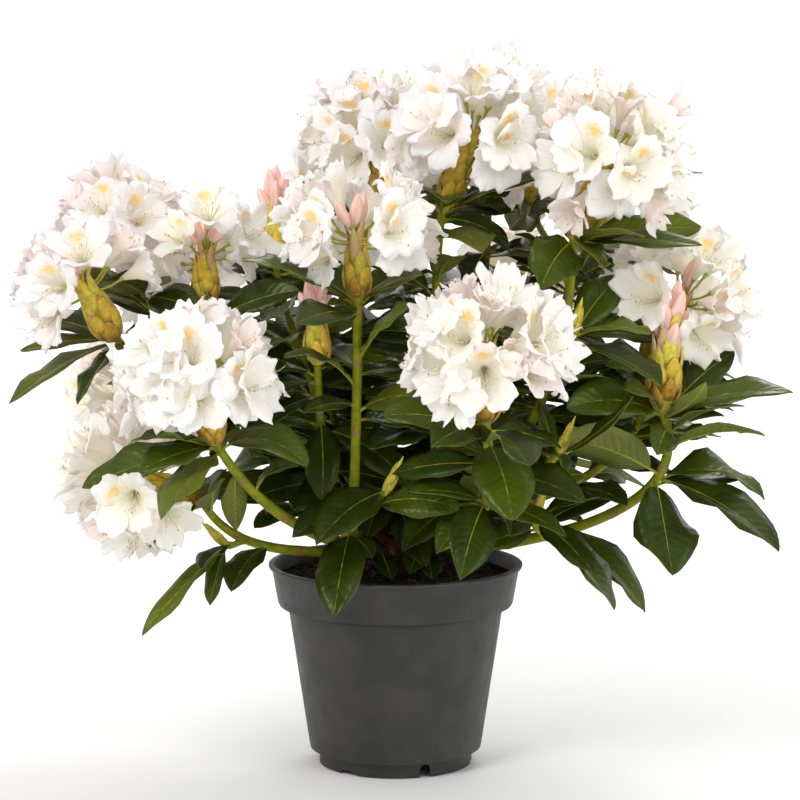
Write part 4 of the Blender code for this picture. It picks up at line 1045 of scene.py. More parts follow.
def leaf_frames(leaf, shares):
    """The middle of a leaf at shares of its length, with its side and its upper face there."""
    spot, walked = leaf.root, 0.0
    for share in shares:
        middle = (walked + share) / 2
        towards = heading(leaf.bearing + leaf.sway * middle ** 2, leaf.pitch + leaf.droop * (0.5 - middle))
        spot = spot + towards * (share - walked) * leaf.length
        walked = share
        bearing = leaf.bearing + leaf.sway * share ** 2
        along = heading(bearing, leaf.pitch + leaf.droop * (0.5 - share))
        rolled = Matrix.Rotation(math.radians(leaf.roll + leaf.twist * share), 3, along)
        side = rolled @ heading(bearing + 90, 0)
        yield spot, side, along.cross(side)


def leaf_sheet(leaf, chance):
    """The blade as rows of six points: margin, middle and midrib on each side, on a drooping arc."""
    half = leaf.breadth * leaf.length / 2
    curly = CURLY_DEPTH if chance.random() < CURLY_SHARE else 1.0
    waves = [(chance.uniform(0, math.tau), chance.uniform(*WAVE_DEPTHS) * curly) for _ in range(2)]
    count = chance.uniform(*WAVE_COUNTS)
    fold = chance.uniform(*FOLDS)
    fullest, blunt, sharp = (chance.uniform(*powers) for powers in (FULLEST, BLUNT, SHARP))
    points = []
    shares = [float(share) for share in LEAF_ROWS]
    for share, (spot, side, up) in zip(shares, leaf_frames(leaf, shares)):
        t = (share - BLADE_FROM) / (1 - BLADE_FROM)
        curve = blunt + (sharp - blunt) * t * t
        width = max(half * max(0.0, math.sin(math.pi * t ** fullest)) ** curve, 0.0016 - 0.0013 * t)
        rib = min(width * 0.5, 0.0007 - 0.0005 * t)
        row = []
        for sign, (phase, depth) in zip((-1, 1), waves):
            wave = math.sin(count * math.tau * t + phase) * depth * width
            margin = spot + side * sign * width + up * (fold * width + wave)
            raised = (0.05 + 0.62 * fold) * width + wave * 0.25
            middle = spot + side * sign * width * MIDDLE_SHARE + up * raised
            inner = spot + side * sign * rib - up * 0.0004
            row += [margin, middle, inner] if sign < 0 else [inner, middle, margin]
        points += row
    return points


def leaning(root, bearing):
    """The roll that turns a leaf's face outward from the plant's shaded middle, behind the trunk."""
    outward = Vector((root.x, root.y - SHADE_MIDDLE, 0)).normalized()
    return LEAF_LEAN * heading(bearing - 90, 0).dot(outward)


leaf_sheets = []  # the shoot of each leaf that found room, the leaf, and its points


def set_leaf(shoot, wanted, moves, kinds):
    """Sets one leaf on its shoot, turned a little aside where the place is taken, or not at all."""
    line, radius = SHOOTS[shoot]
    back, bearing, pitch, length, *more = wanted
    droop, breadth, roll = (*more, *(LEAF_DROOP, LEAF_BREADTH, None)[len(more):])
    centre, _ = line.at(line.length - back / 1000)
    chance = random.Random(f"{shoot} {back} {bearing}")
    twist, sway = chance.uniform(-LEAF_TWIST, LEAF_TWIST), chance.uniform(-LEAF_SWAY, LEAF_SWAY)
    for turn, tilt, scale in moves:
        root = centre + heading(bearing + turn, 0) * radius * LEAF_SEAT
        lean = leaning(root, bearing + turn) if roll is None else roll
        leaf = Leaf(root, bearing + turn, pitch + tilt, length * scale / 1000, droop, breadth, lean,
                    twist, sway)
        points = leaf_sheet(leaf, random.Random(f"margin {shoot} {back} {bearing}"))
        if room.clear(points, LEAF_FACES, kinds):
            room.take("leaf", points, LEAF_FACES)
            leaf_sheets.append((shoot, leaf, points))
            return


# A few small leaves close to the trunk: the limb, millimetres from its root, then as above.
LOW_LEAVES = [
    ("centre", 16, (-104, -26, 48, 30, 0.50)), ("front_left", 15, (-78, -34, 46, 30, 0.48)),
    ("mid_front", 10, (-60, -20, 40, 30, 0.46)), ("right", 18, (-84, -22, 44, 30, 0.50)),
]
for shoot, leaves_wanted in LEAVES.items():
    for wanted in leaves_wanted:
        set_leaf(shoot, wanted, SMALL_MOVES, ("pot", "stem", "leaf"))
for shoot, distance, wanted in LOW_LEAVES:
    line, _ = SHOOTS[shoot]
    back = round(line.length * 1000 - distance, 1)
    set_leaf(shoot, (back, *wanted), WIDE_MOVES, ("pot", "leaf"))

# The trusses: each cone of bracts carries a dome of blossoms on green stalks. A blossom is a broad funnel of
# five wavy, crimped lobes, white to blush, with an apricot blotch on its upper lobe and pale stamens that
# lean over the lower ones. It is laid out as one thin sheet, fused below and split into lobes above.
SEED = 7
CLOSED_SPREAD = 36
CLOSED_DEPTH = 0.42
BARE_TURN = 48
BARE_TOP = 0.62  # blossoms that point up more than this stay where they are
BLOSSOM_CHANGE = 0.06
BLOSSOM_SCALES = (1.0, 0.90, 0.80)
FULLNESS = 2.1  # blossoms tried for each that the truss is said to bear, as many find no room
BLOSSOM_STRAY = 0.24
BLOSSOM_SAG = 0.08
BLOSSOM_ROLL = 0.2
STALK_LENGTH = 0.030
STALK_CHANGES = (0.80, 1.20)
STALK_BOW = 0.0018
COROLLA_LENGTH = 0.0400
COROLLA_MOUTH = 0.0298
BUD_LENGTH = 0.030
BUD_RADIUS = 0.0052
BUD_RINGS = [  # height and girth, over the length and the radius
    (0.0, 0.36), (0.12, 0.74), (0.32, 0.98), (0.55, 1.0), (0.76, 0.80), (0.91, 0.46), (1.0, 0.08)]
BUD_SIDES = 20
BUD_FOLDS = 5
OPENING_SHARE = 0.13
LOBES = 5
HALF_LOBE = 180 / LOBES
STRIPS = 14
FUSED_ROWS = np.array([0.0, 0.26, 0.47])
FREE_ROWS = np.array([0.61, 0.75, 0.87, 0.95, 1.0])
PROFILE_ROWS = np.array([0.0, 0.14, 0.28, 0.40, 0.50, 0.63, 0.76, 0.88, 0.955, 1.0])
PROFILE_REACH = np.array([0.07, 0.13, 0.23, 0.35, 0.46, 0.61, 0.76, 0.88, 0.96, 1.0])
PROFILE_RISE = np.array([0.0, 0.19, 0.38, 0.53, 0.64, 0.76, 0.87, 0.94, 0.975, 0.985])
FUNNEL_RINGS = [(0.0022, 0.002), (0.010, 0.020), (0.0240, 0.0370)]  # radius and height
FUNNEL_SIDES = 10
BLOTCH_ROW = 0.57
BLOTCH_HALVES = (0.70, 0.14)  # across the lobe and along it
FLECKS = 30
FLECKS_OVER = 0.0003
STAMENS = 10
STAMEN_LENGTHS = (0.023, 0.038)
STYLE_LENGTH = 0.040
STAMEN_SHARES = (0.0, 0.25, 0.5, 0.75, 1.0)
STAMEN_RADII = (0.00050, 0.00045, 0.0004, 0.00035, 0.0003)
STAMEN_ASIDE, STAMEN_LOW = 0.0105, -0.0065
KNOB_CORNERS = [(0.7, 0, 0), (0, 0.7, 0), (-0.7, 0, 0), (0, -0.7, 0), (0, 0, 1.5), (0, 0, -1.5)]
KNOB_FACES = [(0, 1, 4), (1, 2, 4), (2, 3, 4), (3, 0, 4), (1, 0, 5), (2, 1, 5), (3, 2, 5), (0, 3, 5)]


def corolla_faces():
    """The faces of a corolla, turned inward: rings round the fused tube, then each free lobe."""
    around = LOBES * STRIPS
    faces = []
    for row in range(len(FUSED_ROWS) - 1):
        for strip in range(around):
            low, high = row * around + strip, row * around + (strip + 1) % around
            faces.append((low, low + around, high + around, high))
    last = (len(FUSED_ROWS) - 1) * around
    first = len(FUSED_ROWS) * around
    for lobe in range(LOBES):
        for row in range(len(FREE_ROWS)):
            for strip in range(STRIPS):
                upper = first + (lobe * len(FREE_ROWS) + row) * (STRIPS + 1) + strip
                low, high = upper - STRIPS - 1, upper - STRIPS
                if row == 0:
                    low = last + lobe * STRIPS + strip
                    high = last + (lobe * STRIPS + strip + 1) % around
                faces.append((low, upper, upper + 1, high))
    return faces


COROLLA_FACES = corolla_faces()


def crimped_row(chance, deep, stray):
    """How far each point along a lobe's margin is off its place: a few waves, and a little at random."""
    phase = chance.uniform(0, math.tau)
    waves, second = chance.uniform(1.6, 2.8), chance.uniform(3.4, 5.0)
    turns = np.arange(STRIPS + 1) * math.tau / STRIPS
    strays = np.array([chance.uniform(-stray, stray) for _ in turns])
    crimps = 0.65 * np.sin(phase + waves * turns) + 0.35 * np.sin(phase * 3 + second * turns)
    return deep * crimps + strays


class Corolla:
    """The shape of one blossom's sheet, from which any point on any lobe can be found. An opening
    blossom is narrower, with calmer margins."""

    def __init__(self, chance):
        opening = chance.random() < OPENING_SHARE
        self.opening = opening
        self.reach = COROLLA_MOUTH * (chance.uniform(0.50, 0.66) if opening else chance.uniform(0.92, 1.08))
        self.depth = COROLLA_LENGTH * (1.06 if opening else chance.uniform(0.90, 1.04))
        calm = 0.4 if opening else 1.0
        self.lobes = [{
            "long": chance.uniform(0.92, 1.12), "swing": chance.uniform(-6, 6),
            "bend": chance.uniform(-0.0040, 0.0135) * calm,
            "fold": chance.uniform(-0.0065, 0.0050) * calm,
            "twist": chance.uniform(-0.0032, 0.0032) * calm,
            "ruffle": chance.uniform(0.0024, 0.0052) * calm,
            "waves": chance.uniform(3.5, 7.5), "phase": chance.uniform(0, math.tau),
            "pleat": chance.uniform(0, math.tau), "crimps": crimped_row(chance, 1.3 * calm, 0.35 * calm),
            "sides": [chance.uniform(-1, 1) for _ in FREE_ROWS],
            "outline": crimped_row(chance, 0.050 * calm, 0.016 * calm),
        } for _ in range(LOBES)]

    def spots(self, lobe, rows, shares, crimped=False):
        """Points at heights from 0 to 1 and at shares from -1 to 1 across a lobe."""
        rows, shares = np.broadcast_arrays(np.asarray(rows, float), np.asarray(shares, float))
        form = self.lobes[lobe]
        fused = FUSED_ROWS[-1]
        free = np.clip((rows - fused) / (1 - fused), 0, 1)
        height = np.where(free > 0, fused + (rows - fused) * (1 - 0.30 * np.abs(shares) ** 3.0), rows)
        spread = HALF_LOBE * (1 + 0.26 * np.sin(math.pi * free ** 0.7) - 0.14 * free ** 2)
        turn = np.radians(90 + lobe * HALF_LOBE * 2 + shares * spread + form["swing"] * free)
        reach = np.interp(height, PROFILE_ROWS, PROFILE_REACH) * self.reach * (1 + (form["long"] - 1) * free)
        rise = np.interp(height, PROFILE_ROWS, PROFILE_RISE) * self.depth
        # A lobe is ruffled at its edge, twisted, bent back, folded, grooved along its middle and pleated.
        edge = free ** 1.3 * (0.25 + 0.75 * shares ** 2)
        wave = np.sin(form["waves"] * shares + form["phase"] + free * 2.5)
        rise = rise + wave * edge * form["ruffle"] + form["twist"] * shares * free - form["bend"] * free ** 2
        rise = rise + form["fold"] * shares ** 2 * free + 0.0022 * shares * np.minimum(free * 2, 1)
        rise = rise - 0.0012 * np.exp(-(shares / 0.22) ** 2) * np.sin(math.pi * np.clip(rows, 0, 1))
        rise = rise + 0.0011 * np.sin(shares * 7.5 + form["pleat"] + free * 1.5) * free
        reach = reach + wave * edge * form["ruffle"] * 0.4
        if crimped:
            row = int(np.argmin(np.abs(FREE_ROWS - rows.flat[0])))
            crimp = form["crimps"] * free ** 4 + form["sides"][row] * np.abs(shares) ** 6 * free
            rise = rise + crimp * 0.0022
            reach = reach * (1 + form["outline"] * free ** 6) + crimp * 0.0006
        return np.stack([reach * np.cos(turn), reach * np.sin(turn), rise], axis=-1)

    def sheet(self):
        """Every point of the corolla, in the order that its faces count them."""
        points = []
        columns = np.arange(STRIPS) / STRIPS * 2 - 1
        for row in FUSED_ROWS:
            for lobe in range(LOBES):
                points.append(self.spots(lobe, row, columns))
        columns = np.linspace(-1, 1, STRIPS + 1)
        for lobe in range(LOBES):
            for row in FREE_ROWS:
                points.append(self.spots(lobe, row, columns, crimped=True))
        return np.concatenate(points)


def corolla_maps():
    """For each point of a corolla, its turn and height as a map, and how deep in the blotch it is."""
    around, heights, blotch = [], [], []
    places = [(lobe, row, strip)
              for row in FUSED_ROWS for lobe in range(LOBES) for strip in range(STRIPS)]
    places += [(lobe, row, strip)
               for lobe in range(LOBES) for row in FREE_ROWS for strip in range(STRIPS + 1)]
    for lobe, row, strip in places:
        share = strip / STRIPS * 2 - 1
        around.append((lobe + strip / STRIPS) / LOBES)
        heights.append(row)
        spread = math.exp(
            -(share / BLOTCH_HALVES[0]) ** 2 - ((row - BLOTCH_ROW) / BLOTCH_HALVES[1]) ** 2)
        blotch.append(spread if lobe == 0 else 0.0)
    return np.stack([around, heights], axis=1), blotch


COROLLA_MAP, BLOTCH = corolla_maps()


def placed(points, root, axes, size):
    """Points of a blossom's own frame, scaled and set on its stalk."""
    turned = np.asarray(points, float) @ np.array([tuple(axis) for axis in axes])
    return turned * size + np.array(tuple(root))


def funnel(root, axes, size):
    """A plain funnel round a blossom, for telling whether it has room."""
    points = [(reach * math.cos(turn * math.tau / FUNNEL_SIDES),
               reach * math.sin(turn * math.tau / FUNNEL_SIDES), rise)
              for reach, rise in FUNNEL_RINGS for turn in range(FUNNEL_SIDES)]
    return placed(points, root, axes, size), ring_faces(len(FUNNEL_RINGS), FUNNEL_SIDES)


def turned_aside(out, bare):
    """Turns a blossom away from the side of its truss where the cone of bracts shows."""
    off = (math.degrees(math.atan2(out.y, out.x)) - bare + 180) % 360 - 180
    if abs(off) > BARE_TURN or out.z > BARE_TOP:
        return out
    return Matrix.Rotation(math.radians(math.copysign(BARE_TURN, off) - off), 3, "Z") @ out


def truss_blossoms(truss, head, chance):
    """Whether each blossom of a truss is open, its root, direction and size, evenly over the dome."""
    axis = heading(truss.bearing, truss.pitch)
    flowering = truss.blossoms > truss.buds
    full, depth = (FULLNESS, CONE_DEPTH) if flowering else (1, CLOSED_DEPTH)
    total = round(truss.blossoms * full) + truss.buds
    across = axis.orthogonal().normalized()
    start = chance.uniform(0, 360)
    widest = math.radians(truss.spread if flowering else CLOSED_SPREAD)
    for number in range(total):
        share = (number + 0.5) / total
        polar = math.acos(1 - share * (1 - math.cos(widest)))
        out = axis * math.cos(polar) + across * math.sin(polar)
        out = Matrix.Rotation(math.radians(start + number * GOLDEN_ANGLE), 3, axis) @ out
        if truss.bare is not None:
            out = turned_aside(out, truss.bare)
        root = head + axis * truss.middle / 1000 * (CONE_SHARE - depth * share)
        size = truss.size * chance.uniform(1 - BLOSSOM_CHANGE, 1 + BLOSSOM_CHANGE)
        yield number >= truss.buds, root, out, size


FLECK_FACES = [(0, 1, 2, 3)]
PETAL_PIECES = 4
PETAL_THICKNESS = 0.00035
SIDE_STEPS = (0, 14, -14)
stalks, stamens, flecks, buds = Heap(), Heap(), Heap(), Heap()
petals = [Heap() for _ in range(PETAL_PIECES)]
CALYX_SHARES = (0, 0.3, 0.6, 0.85, 1.0, 1.06)
CALYX_RADII = (0.0011, 0.0010, 0.0010, 0.0012, 0.0027, 0.0020)


def add_stalk(root, base, chance):
    """A stalk that sags a little and widens into the small calyx."""
    bow = Vector((chance.uniform(-1, 1), chance.uniform(-1, 1), -1.2)) * STALK_BOW
    centres = [root.lerp(base, share) + bow * math.sin(math.pi * share) for share in CALYX_SHARES]
    stalks.add(*tube(centres, CALYX_RADII, 5))


def add_stamens(base, axes, size, chance):
    """Ten stamens and a style that lean over the lower lobes and turn up at their tips."""
    for number in range(STAMENS + 1):
        style = number == STAMENS
        middle = (STAMENS - 1) / 2
        aside = 0.0 if style else (number - middle) / middle * STAMEN_ASIDE + chance.uniform(-0.002, 0.002)
        far = STYLE_LENGTH if style else chance.uniform(*STAMEN_LENGTHS)
        low = STAMEN_LOW + abs(aside) * 0.30 + chance.uniform(-0.0030, 0.0030)
        start, first = Vector((aside * 0.05, 0, 0.001)), Vector((aside * 0.2, low * 0.5, far * 0.5))
        last, tip = Vector((aside * 0.8, low * 1.35, far * 0.85)), Vector((aside, low * 0.8, far))
        route = [tuple(bezier(start, first, last, tip, share)) for share in STAMEN_SHARES]
        route = placed(route, base, axes, size)
        stamens.add(*tube(route, STAMEN_RADII, 3), 2 if style else 0)
        knob = np.array(KNOB_CORNERS) * (0.0009 if style else 0.00085)
        stamens.add(knob + route[-1], KNOB_FACES, 3 if style else 1)


def add_flecks(corolla, base, axes, size, chance):
    """The freckles of the blotch, orange in its middle and golden at its edge."""
    for _ in range(FLECKS):
        reach, turn = math.sqrt(chance.random()), chance.uniform(0, math.tau)
        share = reach * math.cos(turn) * 0.62
        row = BLOTCH_ROW + reach * math.sin(turn) * 0.16
        long, wide = chance.uniform(0.008, 0.022), chance.uniform(0.016, 0.036)
        rows = np.array([row - long, row, row + long, row])
        shares = np.array([share * 0.97, share - wide, share * 1.03, share + wide])
        points = corolla.spots(0, rows, shares)
        face = np.cross(points[2] - points[0], points[1] - points[3])
        points = points + face / np.linalg.norm(face) * FLECKS_OVER
        flecks.add(placed(points, base, axes, size), FLECK_FACES, int(reach < 0.5))


def add_blossom(number, corolla, root, base, axes, size, tint, chance):
    """One open blossom on its stalk."""
    points = placed(corolla.sheet(), base, axes, size)
    tone = ROSY if corolla.opening else tint if chance.random() < 0.6 else chance.randrange(ROSY)
    petals[number % PETAL_PIECES].add(points, COROLLA_FACES, tone, COROLLA_MAP, BLOTCH)
    add_stalk(root, base, chance)
    add_stamens(base, axes, size, chance)
    add_flecks(corolla, base, axes, size, chance)


def add_bud(root, out, size, chance):
    """A closed bud: five furrowed folds that come to a point, rosy on the ridges and pale between."""
    base = root + out * STALK_LENGTH * 0.32
    axes = axes_about(out, Vector((0, 0, 1)))
    points, tints = [], []
    twist = chance.uniform(0.2, 0.9)
    swell = [chance.uniform(0.85, 1.15) for _ in range(BUD_FOLDS)]
    for rise, girth in BUD_RINGS:
        for side in range(BUD_SIDES):
            turn = side / BUD_SIDES * math.tau
            fold = math.cos(BUD_FOLDS * turn)
            ridge = 1 + 0.20 * fold * math.sin(math.pi * min(1, rise * 1.1 + 0.05))
            ridge *= swell[round(turn / math.tau * BUD_FOLDS) % BUD_FOLDS] ** (
                0.5 * math.sin(math.pi * rise))
            turn += twist * rise
            points.append((girth * ridge * math.cos(turn) * BUD_RADIUS,
                           girth * ridge * math.sin(turn) * BUD_RADIUS, rise * BUD_LENGTH))
            tints.append((0.5 + 0.5 * fold) * (0.75 + 0.25 * rise))
    points, faces = placed(points, base, axes, size), closed_faces(len(BUD_RINGS), BUD_SIDES)
    buds.add(points, faces, 0, None, tints)
    add_stalk(root, base, chance)
    room.take("flower", points, faces)


def strayed(most, chance):
    """A small step in any direction."""
    return Vector([chance.uniform(-most, most) for _ in range(3)])


BLOSSOM_OVER = 0.006
BLOSSOM_LOW = np.array(cad_box[0]) - BLOSSOM_OVER
BLOSSOM_HIGH = np.array(cad_box[1]) + BLOSSOM_OVER
open_count = 0
for shoot, truss in TRUSSES.items():
    line, _ = SHOOTS[shoot]
    chance = random.Random("truss " + shoot)
    apex = heading(truss.bearing, truss.pitch)
    closed = truss.buds > truss.blossoms
    grown = []
    dealt = truss_blossoms(truss, Vector(line.points[-1]), random.Random(f"{SEED} truss {shoot}"))
    for opened, root, out, size in dealt:
        if not opened:
            add_bud(root, (out + apex * 0.35).normalized() if closed else out, size, chance)
            continue
        out = out + strayed(BLOSSOM_STRAY, chance) - Vector((0, 0, BLOSSOM_SAG))
        out.normalize()
        upward = apex + strayed(BLOSSOM_ROLL, chance) + Vector((0, 0, 0.4))
        reach = STALK_LENGTH * chance.uniform(*STALK_CHANGES)
        corolla = Corolla(chance)
        steps = SIDE_STEPS if truss.bare is None else SIDE_STEPS[:1]
        for aside, scale in ((aside, scale) for scale in BLOSSOM_SCALES for aside in steps):
            turned = Matrix.Rotation(math.radians(aside), 3, apex)
            axes = axes_about(turned @ out, upward)
            base = root + turned @ out * reach * size * scale
            around = funnel(base, axes, size * scale)
            reached = placed(corolla.sheet(), base, axes, size * scale)
            if (reached < BLOSSOM_LOW).any() or (reached > BLOSSOM_HIGH).any():
                continue
            if room.clear(*around, ("leaf", "pot", "stem", "flower")):
                add_blossom(open_count, corolla, root, base, axes, size * scale, truss.tint, chance)
                grown.append(around)
                open_count += 1
                break
    for around in grown:
        room.take("flower", *around)


def worked(tree, operation, *values):
    """The result of a sum over numbers and other nodes' outputs."""
    return node(tree, "ShaderNodeMath", dict(enumerate(values)), operation=operation).outputs[0]


def petal_group():
    """The look of a petal from its own map: green-white throat, tinted edge, apricot blotch, fine veins and a
    painted glow.
    """
    group, given, result = new_group(
        "petal_look", {"Inner": "Color", "Outer": "Color", "Blotch": "Float"},
        {"Color": "Color", "Painted Glow": "Color", "Height": "Float"})
    along = node(group, "ShaderNodeUVMap", uv_map="along").outputs["UV"]
    rise = node(group, "ShaderNodeSeparateXYZ", {"Vector": along}).outputs["Y"]
    petal = mixed(group, ranged(group, rise, 0.45, 0.98), given.outputs["Inner"], given.outputs["Outer"])
    deep = ranged(group, rise, 0.10, 0.55, 0.80, 0.0)
    throat = mixed(group, deep, petal, (0.89, 0.86, 0.60))
    # Painted glow: an emission colour that stands in for light shining through the petals, strongest in the
    # throat to lift its shade.
    painted_glow = mixed(group, deep, (0.40, 0.375, 0.34), (0.95, 0.90, 0.74))
    place = node(group, "ShaderNodeTexCoord")
    feather = node(group, "ShaderNodeTexNoise", {
        "Vector": place.outputs["Object"], "Scale": 330.0, "Detail": 4.0})
    amount = node(group, "ShaderNodeAttribute", attribute_name="tint")
    patch = worked(group, "ADD", amount.outputs["Fac"], feather.outputs["Fac"])
    patch = worked(group, "MULTIPLY", ranged(group, patch, 0.70, 1.30), given.outputs["Blotch"])
    marked = mixed(group, patch, throat, (0.92, 0.54, 0.08))
    stretch = node(group, "ShaderNodeMapping", {"Vector": along, "Scale": (90.0, 4.0, 1.0)})
    veins = node(group, "ShaderNodeTexNoise", {
        "Vector": stretch.outputs["Vector"], "Scale": 1.0, "Detail": 3.0})
    group.links.new(marked, result.inputs["Color"])
    group.links.new(painted_glow, result.inputs["Painted Glow"])
    group.links.new(veins.outputs["Fac"], result.inputs["Height"])
    return group


PETAL_LOOK = petal_group()


def petal_finish(name, inner, outer, blotch=1.0):
    """Thin silky petals that let some light through, with a painted glow that stands in for more of it."""
    material, tree, shader = finish_of(
        name, outer, 0.55, Specular_IOR_Level=0.25, Subsurface_Weight=0.5,
        Subsurface_Radius=(1.0, 0.92, 0.86), Subsurface_Scale=0.004,
        Emission_Strength=0.21)
    look = node(tree, "ShaderNodeGroup", {"Inner": (*inner, 1), "Outer": (*outer, 1), "Blotch": blotch},
                node_tree=PETAL_LOOK)
    tree.links.new(look.outputs["Color"], shader.inputs["Base Color"])
    # The painted glow feeds the emission.
    tree.links.new(look.outputs["Painted Glow"], shader.inputs["Emission Color"])
    bumped(tree, shader, look.outputs["Height"], 0.0010, 0.9)
    return material


PETAL_FINISHES = [
    petal_finish("petal_white", (0.91, 0.88, 0.79), (0.91, 0.89, 0.865)),
    petal_finish("petal_cream", (0.91, 0.86, 0.71), (0.91, 0.88, 0.81)),
    # The blush whites are a little darker and greyer than the others: partly a lilac blush, partly painted
    # shade for the upper and back trusses that mostly wear them.
    petal_finish("petal_blush", (0.89, 0.82, 0.75), (0.865, 0.815, 0.845)),
    petal_finish("petal_rosy", (0.92, 0.77, 0.66), (0.92, 0.79, 0.77)),
    petal_finish("back_white", (0.92, 0.85, 0.78), (0.92, 0.89, 0.87), 0.25),
    petal_finish("back_cream", (0.92, 0.83, 0.71), (0.92, 0.87, 0.79), 0.25),
    petal_finish("back_blush", (0.88, 0.73, 0.70), (0.87, 0.785, 0.81), 0.25),
    petal_finish("back_rosy", (0.90, 0.66, 0.60), (0.91, 0.74, 0.72), 0.0),
]
for number, heap in enumerate(petals):
    piece = heap.joined(f"petals_{number + 1}", PETAL_FINISHES)
    finish_with(piece, "SOLIDIFY", thickness=PETAL_THICKNESS, offset=-1.0,
                material_offset=len(PETAL_FINISHES) // 2, material_offset_rim=0)


def plain_petal(name, first, second, scale=300.0, rough=0.5):
    """Small fleshy or powdery parts, mottled between two close colours."""
    material, tree, shader = finish_of(name, first, rough, Specular_IOR_Level=0.35)
    drift = mottled(tree, scale, 0.3, 0.7, 3.0)
    two_tone(tree, shader, drift.outputs["Mask"], first, second)
    return material


def bud_finish():
    """Unopened petals, rosy on the folds and cream pink in the furrows, with a faint painted pink glow."""
    # The pink emission is a painted glow that lifts the buds' shade.
    material, tree, shader = finish_of(
        "bud_pink", (0.74, 0.42, 0.36), 0.5, Specular_IOR_Level=0.3, Subsurface_Weight=0.3,
        Subsurface_Radius=(1.0, 0.8, 0.7), Subsurface_Scale=0.003,
        Emission_Color=(1.0, 0.62, 0.56, 1), Emission_Strength=0.09)
    fold = node(tree, "ShaderNodeAttribute", attribute_name="tint")
    drift = mottled(tree, 150.0, 0.3, 0.7, 3.0)
    both = worked(tree, "MULTIPLY_ADD", drift.outputs["Mask"], 0.35, fold.outputs["Fac"])
    two_tone(tree, shader, ranged(tree, both, 0.1, 1.2), (0.88, 0.72, 0.60), (0.82, 0.41, 0.38))
    bumped(tree, shader, drift.outputs["Height"], 0.0004, 0.4)
    return material


fleck_piece = flecks.joined("petal_flecks", [
    plain_petal("fleck_gold", (0.84, 0.56, 0.16), (0.88, 0.68, 0.28)),
    plain_petal("fleck_orange", (0.76, 0.36, 0.06), (0.84, 0.48, 0.10))])
stamen_piece = stamens.joined("stamens", [
    plain_petal("filament", (0.86, 0.83, 0.72), (0.84, 0.80, 0.64)),
    plain_petal("anther", (0.74, 0.55, 0.30), (0.82, 0.66, 0.40), 900.0, 0.9),
    plain_petal("style", (0.66, 0.68, 0.36), (0.76, 0.74, 0.46)),
    plain_petal("stigma", (0.30, 0.32, 0.06), (0.44, 0.38, 0.10), 900.0)])
stalk_piece = stalks.joined("flower_stalks", [
    plain_petal("stalk_green", (0.38, 0.42, 0.040), (0.52, 0.50, 0.08), 120.0)])
bud_piece = buds.joined("flower_buds", [bud_finish()])

# The other leaves: a whorl round the head of each shoot and a looser tier for each year below it, a golden
# angle apart, wherever there is room among the stems, blossoms and leaves that already stand.
TIER_STEP = 62
WHORL_TOP = 5
WHORL_DEPTH = 16
WHORL_PITCHES = (-14, 22)
TIER_PITCHES = (-32, 12)
TURN_CHANGE = 12
LEAF_LENGTHS = (82, 108)
LEAF_DROOPS = (20, 48)
LEAF_BREADTHS = (0.35, 0.44)
USUAL_TIERS = (6, 3)
INNER_FLOOR = 0.222
INNER_TOP = 0.44
INNER_SLOPE = 0.60
INNER_FRONT = -0.040
INNER_FROM, INNER_UNTIL = 22.0, 0.92  # millimetres from the head, and a share of the shoot's length
INNER_STEPS = (6, 11)
INNER_LENGTHS = (70, 100)
INNER_PITCHES = (-10, 26)
TIERS = {
    "front_left": (2,), "low_left": (2, 1), "low_left_spur": (), "far_left": (1, 2),
    "far_left_back": (5,), "far_left_inner": (4, 2), "mid_left": (3, 2, 2), "mid_left_high": (3, 2),
    "mid_front": (1,), "top_left": (4, 0, 3, 3, 3), "top_mid": (3, 0, 2, 3, 2),
    "top_back": (5, 2, 3), "top_right": (2,), "top_right_back": (4,), "top_right_bud": (2,),
    "centre": (3, 2), "foot_left": (2,), "right": (1, 1), "right_mid": (1,), "right_low": (2,),
    "right_back": (4, 2), "right_back_low": (6, 1), "right_high_back": (5, 2),
}


def ruled_leaves(shoot, chance):
    """The leaves that follow the rule: a whorl round the head, then a looser one in each tier below."""
    bearing = chance.uniform(0, 360)
    for tier, count in enumerate(TIERS.get(shoot, USUAL_TIERS)):
        for _ in range(count):
            bearing += GOLDEN_ANGLE + chance.uniform(-TURN_CHANGE, TURN_CHANGE)
            back = WHORL_TOP + tier * TIER_STEP + chance.uniform(0, WHORL_DEPTH)
            pitch = chance.uniform(*(TIER_PITCHES if tier else WHORL_PITCHES))
            length = chance.uniform(*LEAF_LENGTHS)
            yield back, bearing, pitch, length, chance.uniform(*LEAF_DROOPS), chance.uniform(*LEAF_BREADTHS)


for shoot in SHOOTS:
    for wanted in ruled_leaves(shoot, random.Random(f"{SEED} leaves {shoot}")):
        set_leaf(shoot, wanted, WIDE_MOVES, ("pot", "stem", "leaf", "flower"))
for shoot, (line, _) in SHOOTS.items():
    chance = random.Random("inner " + shoot)
    back, bearing = INNER_FROM, chance.uniform(0, 360)
    while back / 1000 < line.length * INNER_UNTIL:
        centre, _ = line.at(line.length - back / 1000)
        bearing += GOLDEN_ANGLE
        lowest = INNER_FLOOR - INNER_SLOPE * max(0.0, centre.y)
        if lowest < centre.z < INNER_TOP and centre.y > INNER_FRONT:
            wanted = (back, bearing, chance.uniform(*INNER_PITCHES), chance.uniform(*INNER_LENGTHS),
                      chance.uniform(*LEAF_DROOPS), chance.uniform(*LEAF_BREADTHS))
            set_leaf(shoot, wanted, WIDE_MOVES, ("pot", "stem", "leaf", "flower"))
        back += chance.uniform(*INNER_STEPS)
DEEP, GREEN, OLIVE, YOUNG, RIB = range(5)
